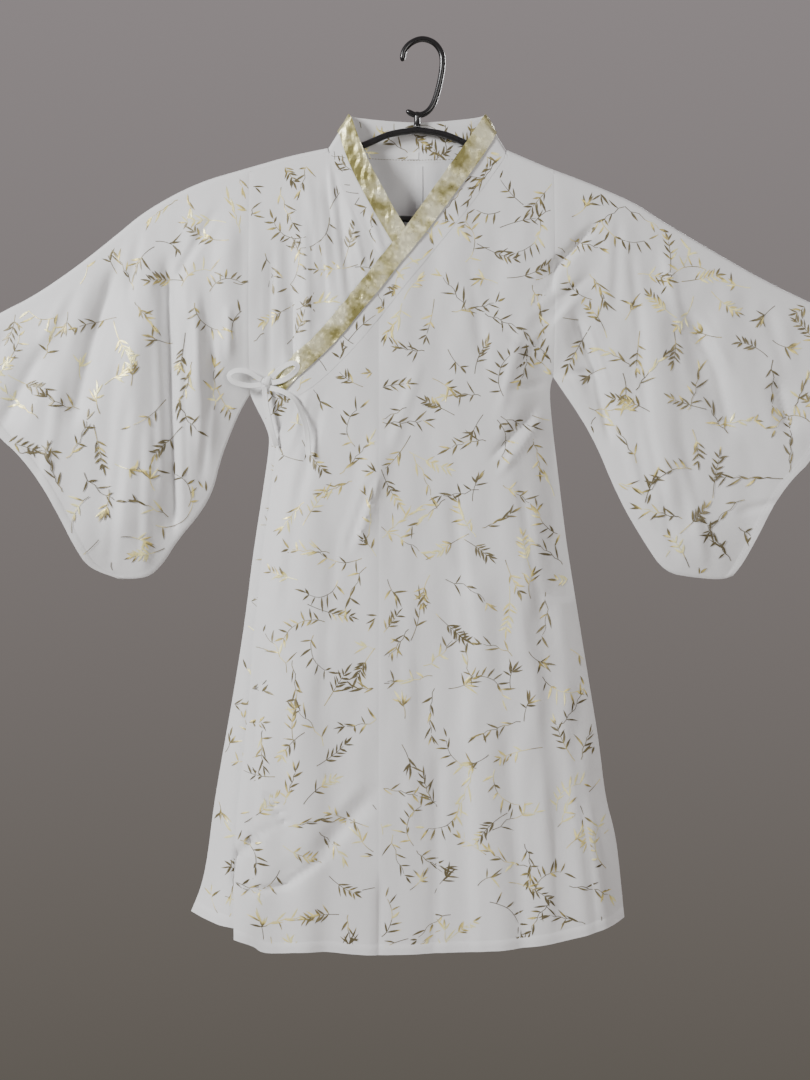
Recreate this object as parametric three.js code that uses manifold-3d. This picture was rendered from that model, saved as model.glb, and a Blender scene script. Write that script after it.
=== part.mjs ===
// A short kimono robe with a wrapped front, hung on a moulded hanger.
// Millimetres, Z up, the front faces -Y. The origin is the inside top of the hanger's hook.
// Inside the garment group x runs from the centre-back seam and z from the inside top of the hook.

import * as THREE from "three";
import Module from "manifold-3d";
import { mergeVertices } from "three/addons/utils/BufferGeometryUtils.js";

const wasm = await Module();
wasm.setup();

// Driving sizes
const CENTRE_X = -6.5; // the garment hangs a little to the side of the hook's top
const CLOTH = 1.6; // wall of every cloth piece
const SEAM_GAP = 0.3; // between pieces at a seam
const TRIM_WALL = 1.0;
const LABEL_WALL = 0.8;
const RIDGE = 5.5; // radius of the cloth over the shoulder
const CUFF_RIDGE = 3; // radius of the sleeve's top fold at the cuff
const SEAM_DEPTH = CLOTH / 2 + SEAM_GAP / 2; // half the depth where front and back meet flat
const GROW = 130; // distance below the crest over which the garment opens
const EDGE_REACH = 75; // distance from a side seam over which the garment opens
const LAYER = { top: 4.5, hem: 8.5, from: -450, to: -800 }; // from the under-front to the over-front
const WRAP = 60; // half the width over which the two fronts change places
const ARMHOLE_LEFT = -192;
const ARMHOLE_RIGHT = 156.4;
const NECK_SIDE = 102.5; // where the neckband crosses the shoulder
const OVERLAP_SEAM = -43.7; // seam of the over-front's overlap panel
const BAND_WIDTH = 42;
const TRIM_WIDTH = 22;
const HANGER_ROD = 3.8; // radius
const HOOK_ROD = 3.4; // radius
const BAR_Z = -203.5; // lower bar of the hanger
const DROPS = { chest: -260, waist: -470, hem: -1040 };
const DEPTHS = { chest: 20, waist: 25, hem: 33 }; // half depth of the body at those heights
const SLEEVE = { depth: 19, blend: 60, foot: -640 }; // half depth, width of its blend into the body, lowest point
const FOLD_END = 50; // length over which a fold fades in and out
const FOLD_FADE = { crest: 45, from: 15, edge: 30 }; // folds grow over these distances from the crest and edges
const HALF_SEAM = SEAM_GAP / 2;
const CREST_GAP = 0.35; // fronts and backs stop this far from the crest
const BAND_GAP = 0.5; // panels stop this far under the neckband's seam
const QUARTER_RUN = (RIDGE * Math.PI) / 2; // run of cloth from the crest to the foot of its round
const ROUND_ROWS = 3; // rows of a panel on the round of the crest
const ROUND_RUN = 6; // least run of cloth that those rows cover
const SHOULDER_HEIGHT = -150; // columns of a panel are placed across at this height
const NECK_BLEND = 2; // columns this close to the neck's side turn over the shoulder too

// Crest of the shoulders and sleeves, from cuff to cuff, as seen from the front
const CREST = [
  { x: -554, z: -356.5 },
  { x: -479.6, z: -311.7 },
  { x: -441.6, z: -293.3 },
  { x: -391, z: -258.8 },
  { x: -345, z: -222 },
  { x: -310.5, z: -193.2 },
  { x: -253, z: -162.2 },
  { x: ARMHOLE_LEFT, z: -144.8 },
  { x: -147, z: -131.6 },
  { x: -NECK_SIDE, z: -122.5 },
  { x: -77, z: -84 },
  { x: 77, z: -84 },
  { x: NECK_SIDE, z: -124.5 },
  { x: 147.2, z: -143.8 },
  { x: ARMHOLE_RIGHT, z: -147.3 },
  { x: 208.2, z: -166.8 },
  { x: 254.2, z: -187.5 },
  { x: 273.7, z: -201.3 },
  { x: 331.2, z: -235.8 },
  { x: 396.8, z: -273.7 },
  { x: 452, z: -300.2 },
  { x: 538.2, z: -340.4 },
];

// Side seams, from the armpit to the hem
const SIDE_LEFT = [
  { x: ARMHOLE_LEFT, z: -403.7 },
  { x: -188.6, z: -413 },
  { x: -171.4, z: -446 },
  { x: -169, z: -462 },
  { x: -178, z: -523 },
  { x: -188.6, z: -590 },
  { x: -197.8, z: -667 },
  { x: -209.8, z: -743 },
  { x: -222, z: -811 },
  { x: -233.5, z: -877.5 },
  { x: -241, z: -940 },
  { x: -248.4, z: -973 },
  { x: -259.9, z: -1000 },
];
const SIDE_RIGHT = [
  { x: ARMHOLE_RIGHT, z: -384 },
  { x: 151.5, z: -400 },
  { x: 155.3, z: -442.8 },
  { x: 161.6, z: -494.5 },
  { x: 170, z: -564.7 },
  { x: 176, z: -604 },
  { x: 195.5, z: -724.5 },
  { x: 209, z: -805 },
  { x: 216, z: -868 },
  { x: 226.6, z: -906 },
  { x: 231, z: -935 },
  { x: 238, z: -1006 },
];

// Underarm edges, from the armpit to the lower corner of the cuff, and cuffs, from the crest to that corner
const UNDERARM_LEFT = [
  { x: ARMHOLE_LEFT, z: -403.7 },
  { x: -203.6, z: -423.2 },
  { x: -215, z: -449.7 },
  { x: -226.6, z: -480.7 },
  { x: -234.6, z: -515.2 },
  { x: -249.6, z: -541.7 },
  { x: -276, z: -572.7 },
  { x: -292, z: -599.2 },
  { x: -310.5, z: -616.4 },
  { x: -345, z: -616.4 },
];
const CUFF_LEFT = [
  { x: -554, z: -356.5 },
  { x: -479.6, z: -454.3 },
  { x: -456.6, z: -472.7 },
  { x: -430, z: -507.2 },
  { x: -410.6, z: -541.7 },
  { x: -391, z: -580.8 },
  { x: -376, z: -604.9 },
  { x: -345, z: -616.4 },
];
const UNDERARM_RIGHT = [
  { x: ARMHOLE_RIGHT, z: -384 },
  { x: 201.3, z: -449.7 },
  { x: 231.2, z: -523.3 },
  { x: 262.2, z: -576.2 },
  { x: 285.2, z: -609.5 },
  { x: 319.7, z: -615.3 },
  { x: 350.8, z: -617.6 },
  { x: 363.4, z: -613 },
];
const CUFF_RIGHT = [
  { x: 538.2, z: -340.4 },
  { x: 452, z: -480.7 },
  { x: 426.7, z: -503.7 },
  { x: 404, z: -537 },
  { x: 388.7, z: -569.3 },
  { x: 373.8, z: -599.2 },
  { x: 363.4, z: -613 },
];

// Hems, from left to right
const HEM_OVER = [
  { x: -207, z: -1024 },
  { x: -184, z: -1030 },
  { x: -173.7, z: -1040 },
  { x: -116, z: -1035 },
  { x: -63, z: -1040.8 },
  { x: -16, z: -1040.8 },
  { x: 70, z: -1038.5 },
  { x: 138, z: -1032.7 },
  { x: 176, z: -1026 },
  { x: 224, z: -1014 },
  { x: 238, z: -1006 },
];
const HEM_UNDER = [
  { x: -259.9, z: -999 },
  { x: -241.5, z: -1006 },
  { x: -212.8, z: -1014 },
  { x: 0, z: -1028 },
  { x: 190, z: -1018 },
];
const HEM_BACK = [
  { x: -259.9, z: -999 },
  { x: -200, z: -1010 },
  { x: 0, z: -1024 },
  { x: 200, z: -1012 },
  { x: 238, z: -1006 },
];

// Free front edges, from the end of the neckband to the hem
const FREE_OVER = [
  { x: -146, z: -416 },
  { x: -161, z: -462 },
  { x: -169, z: -532 },
  { x: -176, z: -581 },
  { x: -186, z: -676 },
  { x: -193, z: -772 },
  { x: -198, z: -820 },
  { x: -204.7, z: -891 },
  { x: -208, z: -960 },
  { x: -207, z: -1026 },
];
const FREE_UNDER = [
  { x: 84, z: -416 },
  { x: 97, z: -470 },
  { x: 122, z: -600 },
  { x: 160, z: -800 },
  { x: 184, z: -1030 },
];

// Neckband, a row for each section: where it is sewn on, its free edge, and how far it has turned over the
// shoulder, from -90 on the front to 90 on the back
const BAND = [
  { layer: "over", turn: -90, seamX: -138, seamZ: -410, edgeX: -163, edgeZ: -394.5 },
  { layer: "over", turn: -90, seamX: -127, seamZ: -404, edgeX: -156, edgeZ: -381 },
  { layer: "over", turn: -90, seamX: -114, seamZ: -395, edgeX: -146, edgeZ: -368 },
  { layer: "over", turn: -90, seamX: -91, seamZ: -374, edgeX: -123, edgeZ: -347 },
  { layer: "over", turn: -90, seamX: -68, seamZ: -350, edgeX: -100, edgeZ: -323 },
  { layer: "over", turn: -90, seamX: -48, seamZ: -326, edgeX: -80, edgeZ: -298 },
  { layer: "over", turn: -90, seamX: -28, seamZ: -301, edgeX: -60, edgeZ: -274 },
  { layer: "over", turn: -90, seamX: -5, seamZ: -272, edgeX: -38, edgeZ: -246 },
  { layer: "over", turn: -90, seamX: 17, seamZ: -245, edgeX: -15, edgeZ: -218.5 },
  { layer: "over", turn: -90, seamX: 36, seamZ: -222, edgeX: 3.5, edgeZ: -193 },
  { layer: "over", turn: -90, seamX: 54, seamZ: -199, edgeX: 21, edgeZ: -168 },
  { layer: "over", turn: -90, seamX: 72, seamZ: -175, edgeX: 38, edgeZ: -144 },
  { layer: "over", turn: -90, seamX: 87, seamZ: -154, edgeX: 54, edgeZ: -121 },
  { layer: "over", turn: -90, seamX: 98, seamZ: -137.5, edgeX: 67, edgeZ: -101 },
  { layer: "over", turn: -90, seamX: 100.6, seamZ: -131, edgeX: 73.5, edgeZ: -90.5 },
  { layer: "over", turn: -45, seamX: 101, seamZ: -126.4, edgeX: 76, edgeZ: -86 },
  { layer: "back", turn: 0, seamX: 101.2, seamZ: -124.6, edgeX: 77, edgeZ: -84 },
  { layer: "back", turn: 45, seamX: 100.2, seamZ: -126.4, edgeX: 75.6, edgeZ: -84.4 },
  { layer: "back", turn: 90, seamX: 95, seamZ: -130, edgeX: 70.5, edgeZ: -85.5 },
  { layer: "back", turn: 90, seamX: 80, seamZ: -132, edgeX: 60, edgeZ: -87 },
  { layer: "back", turn: 90, seamX: 55, seamZ: -134, edgeX: 42, edgeZ: -88.8 },
  { layer: "back", turn: 90, seamX: 27, seamZ: -135.5, edgeX: 21, edgeZ: -90.4 },
  { layer: "back", turn: 90, seamX: 0, seamZ: -136, edgeX: 0, edgeZ: -91 },
  { layer: "back", turn: 90, seamX: -27, seamZ: -135.5, edgeX: -21, edgeZ: -90.4 },
  { layer: "back", turn: 90, seamX: -55, seamZ: -134, edgeX: -42, edgeZ: -88.8 },
  { layer: "back", turn: 90, seamX: -80, seamZ: -131, edgeX: -60, edgeZ: -87 },
  { layer: "back", turn: 90, seamX: -95, seamZ: -128, edgeX: -70.5, edgeZ: -85.5 },
  { layer: "back", turn: 45, seamX: -100.2, seamZ: -124.4, edgeX: -75.6, edgeZ: -84.4 },
  { layer: "back", turn: 0, seamX: -101.2, seamZ: -122.6, edgeX: -77, edgeZ: -84 },
  { layer: "under", turn: -45, seamX: -101, seamZ: -124.4, edgeX: -76, edgeZ: -86 },
  { layer: "under", turn: -90, seamX: -99.9, seamZ: -129.5, edgeX: -74, edgeZ: -91 },
  { layer: "under", turn: -90, seamX: -98, seamZ: -139.5, edgeX: -68.5, edgeZ: -107 },
  { layer: "under", turn: -90, seamX: -92.5, seamZ: -156, edgeX: -59.5, edgeZ: -130 },
  { layer: "under", turn: -90, seamX: -85, seamZ: -173, edgeX: -49.5, edgeZ: -151.8 },
  { layer: "under", turn: -90, seamX: -73, seamZ: -196, edgeX: -36.5, edgeZ: -176 },
  { layer: "under", turn: -90, seamX: -61, seamZ: -217.4, edgeX: -24.7, edgeZ: -197.8 },
  { layer: "under", turn: -90, seamX: -39, seamZ: -254, edgeX: -3.5, edgeZ: -233 },
  { layer: "under", turn: -90, seamX: -15, seamZ: -293, edgeX: 20, edgeZ: -270 },
  { layer: "under", turn: -90, seamX: 24, seamZ: -347, edgeX: 58, edgeZ: -322 },
  { layer: "under", turn: -90, seamX: 50, seamZ: -378, edgeX: 83, edgeZ: -352 },
  { layer: "under", turn: -90, seamX: 74, seamZ: -404, edgeX: 106, edgeZ: -378 },
];

// Largest folds, each along a line from top to foot, on the front or the back, rising outwards or sinking inwards
const FOLDS = [
  { side: "front", x0: -286, z0: -266, x1: -279, z1: -560, half: 22, rise: -9 },
  { side: "front", x0: -262, z0: -290, x1: -240, z1: -470, half: 20, rise: 6 },
  { side: "front", x0: -347, z0: -266, x1: -392, z1: -430, half: 28, rise: -7 },
  { side: "front", x0: -430, z0: -358, x1: -470, z1: -440, half: 26, rise: -5 },
  { side: "front", x0: -320, z0: -330, x1: -335, z1: -570, half: 26, rise: 6 },
  { side: "front", x0: -216, z0: -220, x1: -218, z1: -370, half: 20, rise: 5 },
  { side: "front", x0: -122, z0: -165, x1: -92, z1: -310, half: 16, rise: 5 },
  { side: "front", x0: -101, z0: -165, x1: -70, z1: -290, half: 12, rise: -3 },
  { side: "front", x0: -146, z0: -230, x1: -146, z1: -370, half: 15, rise: -5 },
  { side: "front", x0: 199, z0: -218, x1: 136, z1: -285, half: 18, rise: -8 },
  { side: "front", x0: 193, z0: -274, x1: 132, z1: -331, half: 18, rise: -7 },
  { side: "front", x0: 182, z0: -323, x1: 220, z1: -452, half: 22, rise: -7 },
  { side: "front", x0: 311, z0: -316, x1: 357, z1: -443, half: 28, rise: -6 },
  { side: "front", x0: 266, z0: -300, x1: 285, z1: -540, half: 28, rise: 6 },
  { side: "front", x0: 412, z0: -392, x1: 427, z1: -446, half: 24, rise: -5 },
  { side: "front", x0: 133, z0: -425, x1: 92, z1: -472, half: 18, rise: -5 },
  { side: "front", x0: -45, z0: -470, x1: -69, z1: -575, half: 22, rise: 4 },
  { side: "front", x0: -54, z0: -862, x1: -155, z1: -964, half: 24, rise: -6 },
  { side: "front", x0: 62, z0: -620, x1: 92, z1: -1060, half: 30, rise: 6 },
  { side: "front", x0: 140, z0: -640, x1: 176, z1: -1050, half: 26, rise: -6 },
  { side: "front", x0: -120, z0: -700, x1: -130, z1: -1060, half: 30, rise: 5 },
  { side: "back", x0: -286, z0: -280, x1: -292, z1: -560, half: 24, rise: 8 },
  { side: "back", x0: -365, z0: -300, x1: -398, z1: -500, half: 28, rise: -7 },
  { side: "back", x0: -225, z0: -240, x1: -222, z1: -400, half: 22, rise: -6 },
  { side: "back", x0: 205, z0: -240, x1: 228, z1: -470, half: 24, rise: -8 },
  { side: "back", x0: 280, z0: -280, x1: 308, z1: -560, half: 26, rise: 7 },
  { side: "back", x0: 372, z0: -330, x1: 392, z1: -500, half: 26, rise: -6 },
  { side: "back", x0: -90, z0: -230, x1: -104, z1: -620, half: 26, rise: -5 },
  { side: "back", x0: 82, z0: -240, x1: 96, z1: -560, half: 26, rise: -5 },
  { side: "back", x0: -70, z0: -600, x1: -92, z1: -1060, half: 34, rise: 7 },
  { side: "back", x0: 66, z0: -640, x1: 84, z1: -1060, half: 32, rise: 6 },
  { side: "back", x0: -150, z0: -700, x1: -176, z1: -1060, half: 30, rise: -6 },
  { side: "back", x0: 138, z0: -700, x1: 160, z1: -1060, half: 30, rise: -6 },
];

// Hanger: the arm's centre line on one side, from the stem to the middle of the lower bar
const ARM = [
  { x: 0, z: -101.2 },
  { x: 32, z: -106.5 },
  { x: 64, z: -119.6 },
  { x: 102, z: -130.4 },
  { x: 135, z: -144.2 },
  { x: 152, z: -154 },
  { x: 162, z: -170 },
  { x: 159, z: -190 },
  { x: 143, z: BAR_Z },
];
// Hook: its centre line from the tip over the top to the curl under it
const HOOK = [
  { x: -17.3, z: -22.4 },
  { x: -14.5, z: -9.5 },
  { x: -6, z: -0.5 },
  { x: 6.6, z: HOOK_ROD },
  { x: 20, z: -1.5 },
  { x: 28.2, z: -14 },
  { x: 28.6, z: -32 },
  { x: 23.5, z: -57 },
  { x: 17, z: -74 },
  { x: 8, z: -82.6 },
  { x: -3, z: -83.6 },
  { x: -12.7, z: -78.7 },
];
const STEM = { radius: 4, top: -84, foot: -97.2 };

// Bow: its knot beside the neckband's end, and the centre lines of its loops and tails
const BOW = {
  knot: { x: -170.1, y: -20.5, z: -392, wide: 7.2, deep: 4.6, tall: 6.6 },
  ribbon: { wide: 5.6, thick: 1.8 },
};
const LOOP_LEFT = [
  { x: -177.8, y: -20.8, z: -390.5 },
  { x: -192, y: -21, z: -381.5 },
  { x: -206, y: -20, z: -380 },
  { x: -214, y: -19.5, z: -385 },
  { x: -209, y: -19, z: -392.5 },
  { x: -194, y: -19, z: -396.5 },
  { x: -178, y: -19.8, z: -396.2 },
];
const LOOP_RIGHT = [
  { x: -165.6, y: -24.8, z: -388.2 },
  { x: -153, y: -27.8, z: -377 },
  { x: -141, y: -29.2, z: -372 },
  { x: -135.5, y: -29.8, z: -377 },
  { x: -142, y: -29.6, z: -385 },
  { x: -153, y: -27.4, z: -391.5 },
  { x: -164.9, y: -24.9, z: -394.2 },
];
const TAIL_INNER = [
  { x: -174.2, y: -20, z: -398.8 },
  { x: -173, y: -18.5, z: -412 },
  { x: -170, y: -16.5, z: -430 },
  { x: -166, y: -15.5, z: -448 },
  { x: -161, y: -16.5, z: -466 },
];
const TAIL_OUTER = [
  { x: -167.4, y: -22.4, z: -399.7 },
  { x: -152, y: -28.4, z: -404.5 },
  { x: -139, y: -32, z: -414 },
  { x: -131, y: -33.4, z: -430 },
  { x: -125.4, y: -34, z: -449 },
  { x: -123, y: -34.6, z: -477 },
];

const LABEL = { left: -10.8, right: 1.7, foot: -132.3, top: -124.2 };

// Small helpers
const lerp = (a, b, f) => a + (b - a) * f;
const clamp = (v, low = 0, high = 1) => Math.min(Math.max(v, low), high);
const ease = (f) => clamp(f) ** 2 * (3 - 2 * clamp(f));
const swell = (f) => Math.sin((Math.PI / 2) * clamp(f));
const steps = (count) => Array.from({ length: count + 1 }, (_, i) => i / count);

// Height of a left-to-right table at x
function heightAt(table, x) {
  const after = table.findIndex((row) => row.x > x);
  const i = after < 0 ? table.length - 1 : Math.max(after, 1);
  const a = table[i - 1];
  const b = table[i];
  return lerp(a.z, b.z, (x - a.x) / (b.x - a.x));
}

// Place across of a top-to-foot table at z, straight up from its first row
function acrossAt(table, z) {
  if (z >= table[0].z) return table[0].x;
  const after = table.findIndex((row) => row.z < z);
  const i = after < 0 ? table.length - 1 : after;
  const a = table[i - 1];
  const b = table[i];
  return lerp(a.x, b.x, (z - a.z) / (b.z - a.z));
}

// Distance from a point to a line of table rows
function distanceTo(table, x, z) {
  let best = Infinity;
  for (let i = 1; i < table.length; i++) {
    const a = table[i - 1];
    const dx = table[i].x - a.x;
    const dz = table[i].z - a.z;
    const f = clamp(((x - a.x) * dx + (z - a.z) * dz) / (dx * dx + dz * dz));
    best = Math.min(best, Math.hypot(x - a.x - dx * f, z - a.z - dz * f));
  }
  return best;
}

// Point at a share of a table's length
function alongTable(table, share) {
  const lengths = table.slice(1).map((row, i) => Math.hypot(row.x - table[i].x, row.z - table[i].z));
  let left = share * lengths.reduce((sum, length) => sum + length, 0);
  let i = 0;
  while (i < lengths.length - 1 && left > lengths[i]) left -= lengths[i++];
  const f = left / lengths[i];
  return { x: lerp(table[i].x, table[i + 1].x, f), z: lerp(table[i].z, table[i + 1].z, f) };
}

// How far the folds of one side stand out at a point: they fade at their ends and near seams and the crest
function foldsAt(side, x, z, crestDistance, edgeDistance) {
  let rise = 0;
  for (const fold of FOLDS) {
    if (fold.side !== side) continue;
    const dx = fold.x1 - fold.x0;
    const dz = fold.z1 - fold.z0;
    const length = Math.hypot(dx, dz);
    const along = ((x - fold.x0) * dx + (z - fold.z0) * dz) / length;
    const across = ((x - fold.x0) * dz - (z - fold.z0) * dx) / length / fold.half;
    if (Math.abs(across) >= 1) continue;
    const ends = ease(along / FOLD_END + 0.5) * ease((length - along) / FOLD_END + 0.5);
    rise += fold.rise * (1 - across * across) ** 2 * ends;
  }
  return rise * ease((crestDistance - FOLD_FADE.from) / FOLD_FADE.crest) * ease(edgeDistance / FOLD_FADE.edge);
}

const EDGES = [SIDE_LEFT, SIDE_RIGHT, UNDERARM_LEFT, UNDERARM_RIGHT];

// Half depth of the full garment by height and distance from the middle
function fullDepth(x, z) {
  const low = ease((DROPS.chest - z) / (DROPS.chest - DROPS.waist));
  const foot = ease((DROPS.waist - z) / (DROPS.waist - DROPS.hem));
  const body = lerp(lerp(DEPTHS.chest, DEPTHS.waist, low), DEPTHS.hem, foot);
  const out = Math.max(ARMHOLE_LEFT - x, x - ARMHOLE_RIGHT);
  return z > SLEEVE.foot ? lerp(body, SLEEVE.depth, ease(out / SLEEVE.blend + 0.5)) : body;
}

// Depth of the cloth's middle on one side at a point; round is the part that turns over the crest
function depthAt(side, x, z, round) {
  const crestDistance = distanceTo(CREST, x, z);
  const edgeDistance = Math.min(...EDGES.map((edge) => distanceTo(edge, x, z)));
  const full = round + (fullDepth(x, z) - RIDGE) * swell(crestDistance / GROW);
  const depth = lerp(SEAM_DEPTH, full, swell(edgeDistance / EDGE_REACH));
  return depth + foldsAt(side, x, z, crestDistance, edgeDistance);
}

// The two fronts change places across the wrap: how far a layer stands in front of the shared depth
const wrapShare = (x) => 1 - ease((x + WRAP) / (2 * WRAP));
const layerAt = (z) => lerp(LAYER.top, LAYER.hem, ease((LAYER.from - z) / (LAYER.from - LAYER.to)));
const STAND = {
  over: (x, z) => layerAt(z) * wrapShare(x),
  under: (x, z) => -layerAt(z) * (1 - wrapShare(x)),
  back: () => 0,
};

function clothPoint(layer, x, z, round = RIDGE) {
  const side = layer === "back" ? "back" : "front";
  const depth = depthAt(side, x, z, round) + STAND[layer](x, z);
  return new THREE.Vector3(x, side === "back" ? depth : -depth, z);
}

// The cloth over a shoulder turns round the crest: the drop and the depth of that round after a run of cloth
const turnOf = (run) => Math.min(run / RIDGE, Math.PI / 2);
const dropOf = (run) => RIDGE * (1 - Math.cos(turnOf(run))) + Math.max(run - QUARTER_RUN, 0);
const runOf = (drop) => (drop < RIDGE ? RIDGE * Math.acos(1 - drop / RIDGE) : drop - RIDGE + QUARTER_RUN);
const roundOf = (run) => RIDGE * Math.sin(turnOf(run));

// Height of the shoulder's crest at x; inside the neck it stays at the height of the neck's side
function shoulderAt(x) {
  return heightAt(CREST, Math.sign(x) * Math.max(Math.abs(x), NECK_SIDE + 0.1));
}

// Walls from grids of middle points
function triangles(positions, cells) {
  const geometry = new THREE.BufferGeometry();
  geometry.setAttribute("position", new THREE.Float32BufferAttribute(positions, 3));
  geometry.setIndex(cells);
  geometry.computeVertexNormals();
  return geometry;
}

// Normals of a grid of points; rings close on themselves across
function gridNormals(grid, closed) {
  const rows = grid.length;
  const count = grid[0].length;
  const across = (i, j, step) => {
    const k = j + step;
    return grid[i][closed ? (k + count) % count : clamp(k, 0, count - 1)];
  };
  return grid.map((row, i) =>
    row.map((_, j) => {
      const down = grid[Math.min(i + 1, rows - 1)][j].clone().sub(grid[Math.max(i - 1, 0)][j]);
      const side = across(i, j, 1).clone().sub(across(i, j, -1));
      return side.cross(down).normalize();
    }),
  );
}

// A closed wall: the outer face lies out from the grid along its normals and the inner face in from it
function wall(grid, { out = CLOTH / 2, inside = CLOTH / 2, closed = false, flatEnds = null } = {}) {
  const normals = gridNormals(grid, closed);
  if (flatEnds) flatEnds(normals);
  const rows = grid.length;
  const count = grid[0].length;
  const positions = [];
  for (const shift of [out, -inside])
    grid.forEach((row, i) =>
      row.forEach((point, j) => {
        positions.push(...point.clone().addScaledVector(normals[i][j], shift).toArray());
      }),
    );
  const outer = (i, j) => i * count + (j % count);
  const inner = (i, j) => rows * count + outer(i, j);
  const cells = [];
  const quad = (a, b, c, d) => cells.push(a, b, c, a, c, d);
  const last = closed ? count : count - 1;
  for (let i = 0; i < rows - 1; i++)
    for (let j = 0; j < last; j++) {
      quad(outer(i, j), outer(i + 1, j), outer(i + 1, j + 1), outer(i, j + 1));
      quad(inner(i, j), inner(i, j + 1), inner(i + 1, j + 1), inner(i + 1, j));
    }
  for (let j = 0; j < last; j++) {
    quad(outer(0, j), outer(0, j + 1), inner(0, j + 1), inner(0, j));
    quad(outer(rows - 1, j + 1), outer(rows - 1, j), inner(rows - 1, j), inner(rows - 1, j + 1));
  }
  if (!closed)
    for (let i = 0; i < rows - 1; i++) {
      quad(outer(i + 1, 0), outer(i, 0), inner(i, 0), inner(i + 1, 0));
      quad(outer(i, count - 1), outer(i + 1, count - 1), inner(i + 1, count - 1), inner(i, count - 1));
    }
  return facingOut(triangles(positions, cells));
}

// Turns a closed geometry round where its faces point in
function facingOut(geometry) {
  const p = geometry.getAttribute("position");
  const index = geometry.index.array;
  const [a, b, c] = [new THREE.Vector3(), new THREE.Vector3(), new THREE.Vector3()];
  let volume = 0;
  for (let i = 0; i < index.length; i += 3) {
    a.fromBufferAttribute(p, index[i]);
    b.fromBufferAttribute(p, index[i + 1]);
    c.fromBufferAttribute(p, index[i + 2]);
    volume += a.dot(b.cross(c));
  }
  if (volume < 0)
    for (let i = 0; i < index.length; i += 3) [index[i + 1], index[i + 2]] = [index[i + 2], index[i + 1]];
  geometry.computeVertexNormals();
  return geometry;
}

// A body panel: columns run down between two side edges, from the shoulder's crest or the neckband's seam to
// the hem. The columns are named by where they start, across the shoulders
function panel({ layer, left, right, seam, hem, starts, rows, reachesShoulder }) {
  const [first, last] = [left(SHOULDER_HEIGHT), right(SHOULDER_HEIGHT)];
  const grid = steps(rows).map(() => []);
  for (const start of [first, ...starts, last]) {
    const share = (start - first) / (last - first);
    const acrossOf = (z) => lerp(left(z), right(z), share);
    const crest = shoulderAt(start);
    const onShoulder = reachesShoulder(start) && Math.abs(start) > NECK_SIDE;
    const nearShoulder = reachesShoulder(start) && Math.abs(start) > NECK_SIDE - NECK_BLEND;
    let foot = hem(start);
    for (let turn = 0; turn < 8; turn++) foot = hem(acrossOf(foot));
    const slope = (heightAt(seam, start + 1) - heightAt(seam, start - 1)) / 2;
    let topRun = runOf(Math.max(crest - heightAt(seam, start) + BAND_GAP * Math.hypot(1, slope), 0));
    if (onShoulder) topRun = CREST_GAP;
    else if (nearShoulder) topRun = Math.abs(start) > NECK_SIDE - NECK_BLEND / 2 ? QUARTER_RUN / 2 : QUARTER_RUN;
    const footOfRound = Math.max(QUARTER_RUN, topRun + ROUND_RUN);
    for (let i = 0; i <= rows; i++) {
      const run = lerp(topRun, footOfRound, Math.min(i / ROUND_ROWS, 1));
      let z = crest - dropOf(run);
      if (i > ROUND_ROWS) z = lerp(z, foot, (i - ROUND_ROWS) / (rows - ROUND_ROWS));
      const round = nearShoulder && i < ROUND_ROWS ? roundOf(run) : RIDGE;
      grid[i].push(clothPoint(layer, acrossOf(z), z, round));
    }
  }
  return wall(grid);
}

const material = (color, roughness, metalness = 0) =>
  new THREE.MeshStandardMaterial({ color, roughness, metalness, side: THREE.DoubleSide });
const PRINTED_CLOTH = () => material(0xdcdad2, 0.6);
const SATIN = () => material(0xd8cfa0, 0.35);
const TIE_CLOTH = () => material(0xe6e4de, 0.55);
const LABEL_CLOTH = () => material(0xf0f0ee, 0.7);
const BLACK_PLASTIC = () => material(0x0b0b0d, 0.3);

const garment = new THREE.Group();
garment.position.x = CENTRE_X;

function add(name, geometry, finish) {
  const mesh = new THREE.Mesh(geometry, finish);
  mesh.name = name;
  garment.add(mesh);
  return mesh;
}

// Seams between neckband and fronts, as left-to-right tables
const seamTable = (layer) =>
  BAND.filter((row) => row.layer === layer && Math.abs(row.turn) === 90)
    .map((row) => ({ x: row.seamX, z: row.seamZ }))
    .sort((a, b) => a.x - b.x);
const SEAM_OVER = seamTable("over");
const SEAM_UNDER = seamTable("under");
const SEAM_BACK = seamTable("back");

const always = (value) => () => value;

// Body panels
const sideLeft = (z) => (z > SIDE_LEFT[0].z ? ARMHOLE_LEFT + HALF_SEAM : acrossAt(SIDE_LEFT, z));
const sideRight = (z) => (z > SIDE_RIGHT[0].z ? ARMHOLE_RIGHT - HALF_SEAM : acrossAt(SIDE_RIGHT, z));

function buildBack() {
  const shared = {
    layer: "back",
    seam: SEAM_BACK,
    hem: (x) => heightAt(HEM_BACK, x),
    rows: 26,
    reachesShoulder: () => true,
  };
  const outer = [-176, -161, -146, -131, -117, -103, -102.2, -101, -90, -68, -45, -22];
  const inner = [22, 45, 68, 90, 101, 102.2, 103, 117, 130, 143];
  const left = { ...shared, left: sideLeft, right: always(-HALF_SEAM), starts: outer };
  const right = { ...shared, left: always(HALF_SEAM), right: sideRight, starts: inner };
  add("back_left", panel(left), PRINTED_CLOTH());
  add("back_right", panel(right), PRINTED_CLOTH());
}

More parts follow.
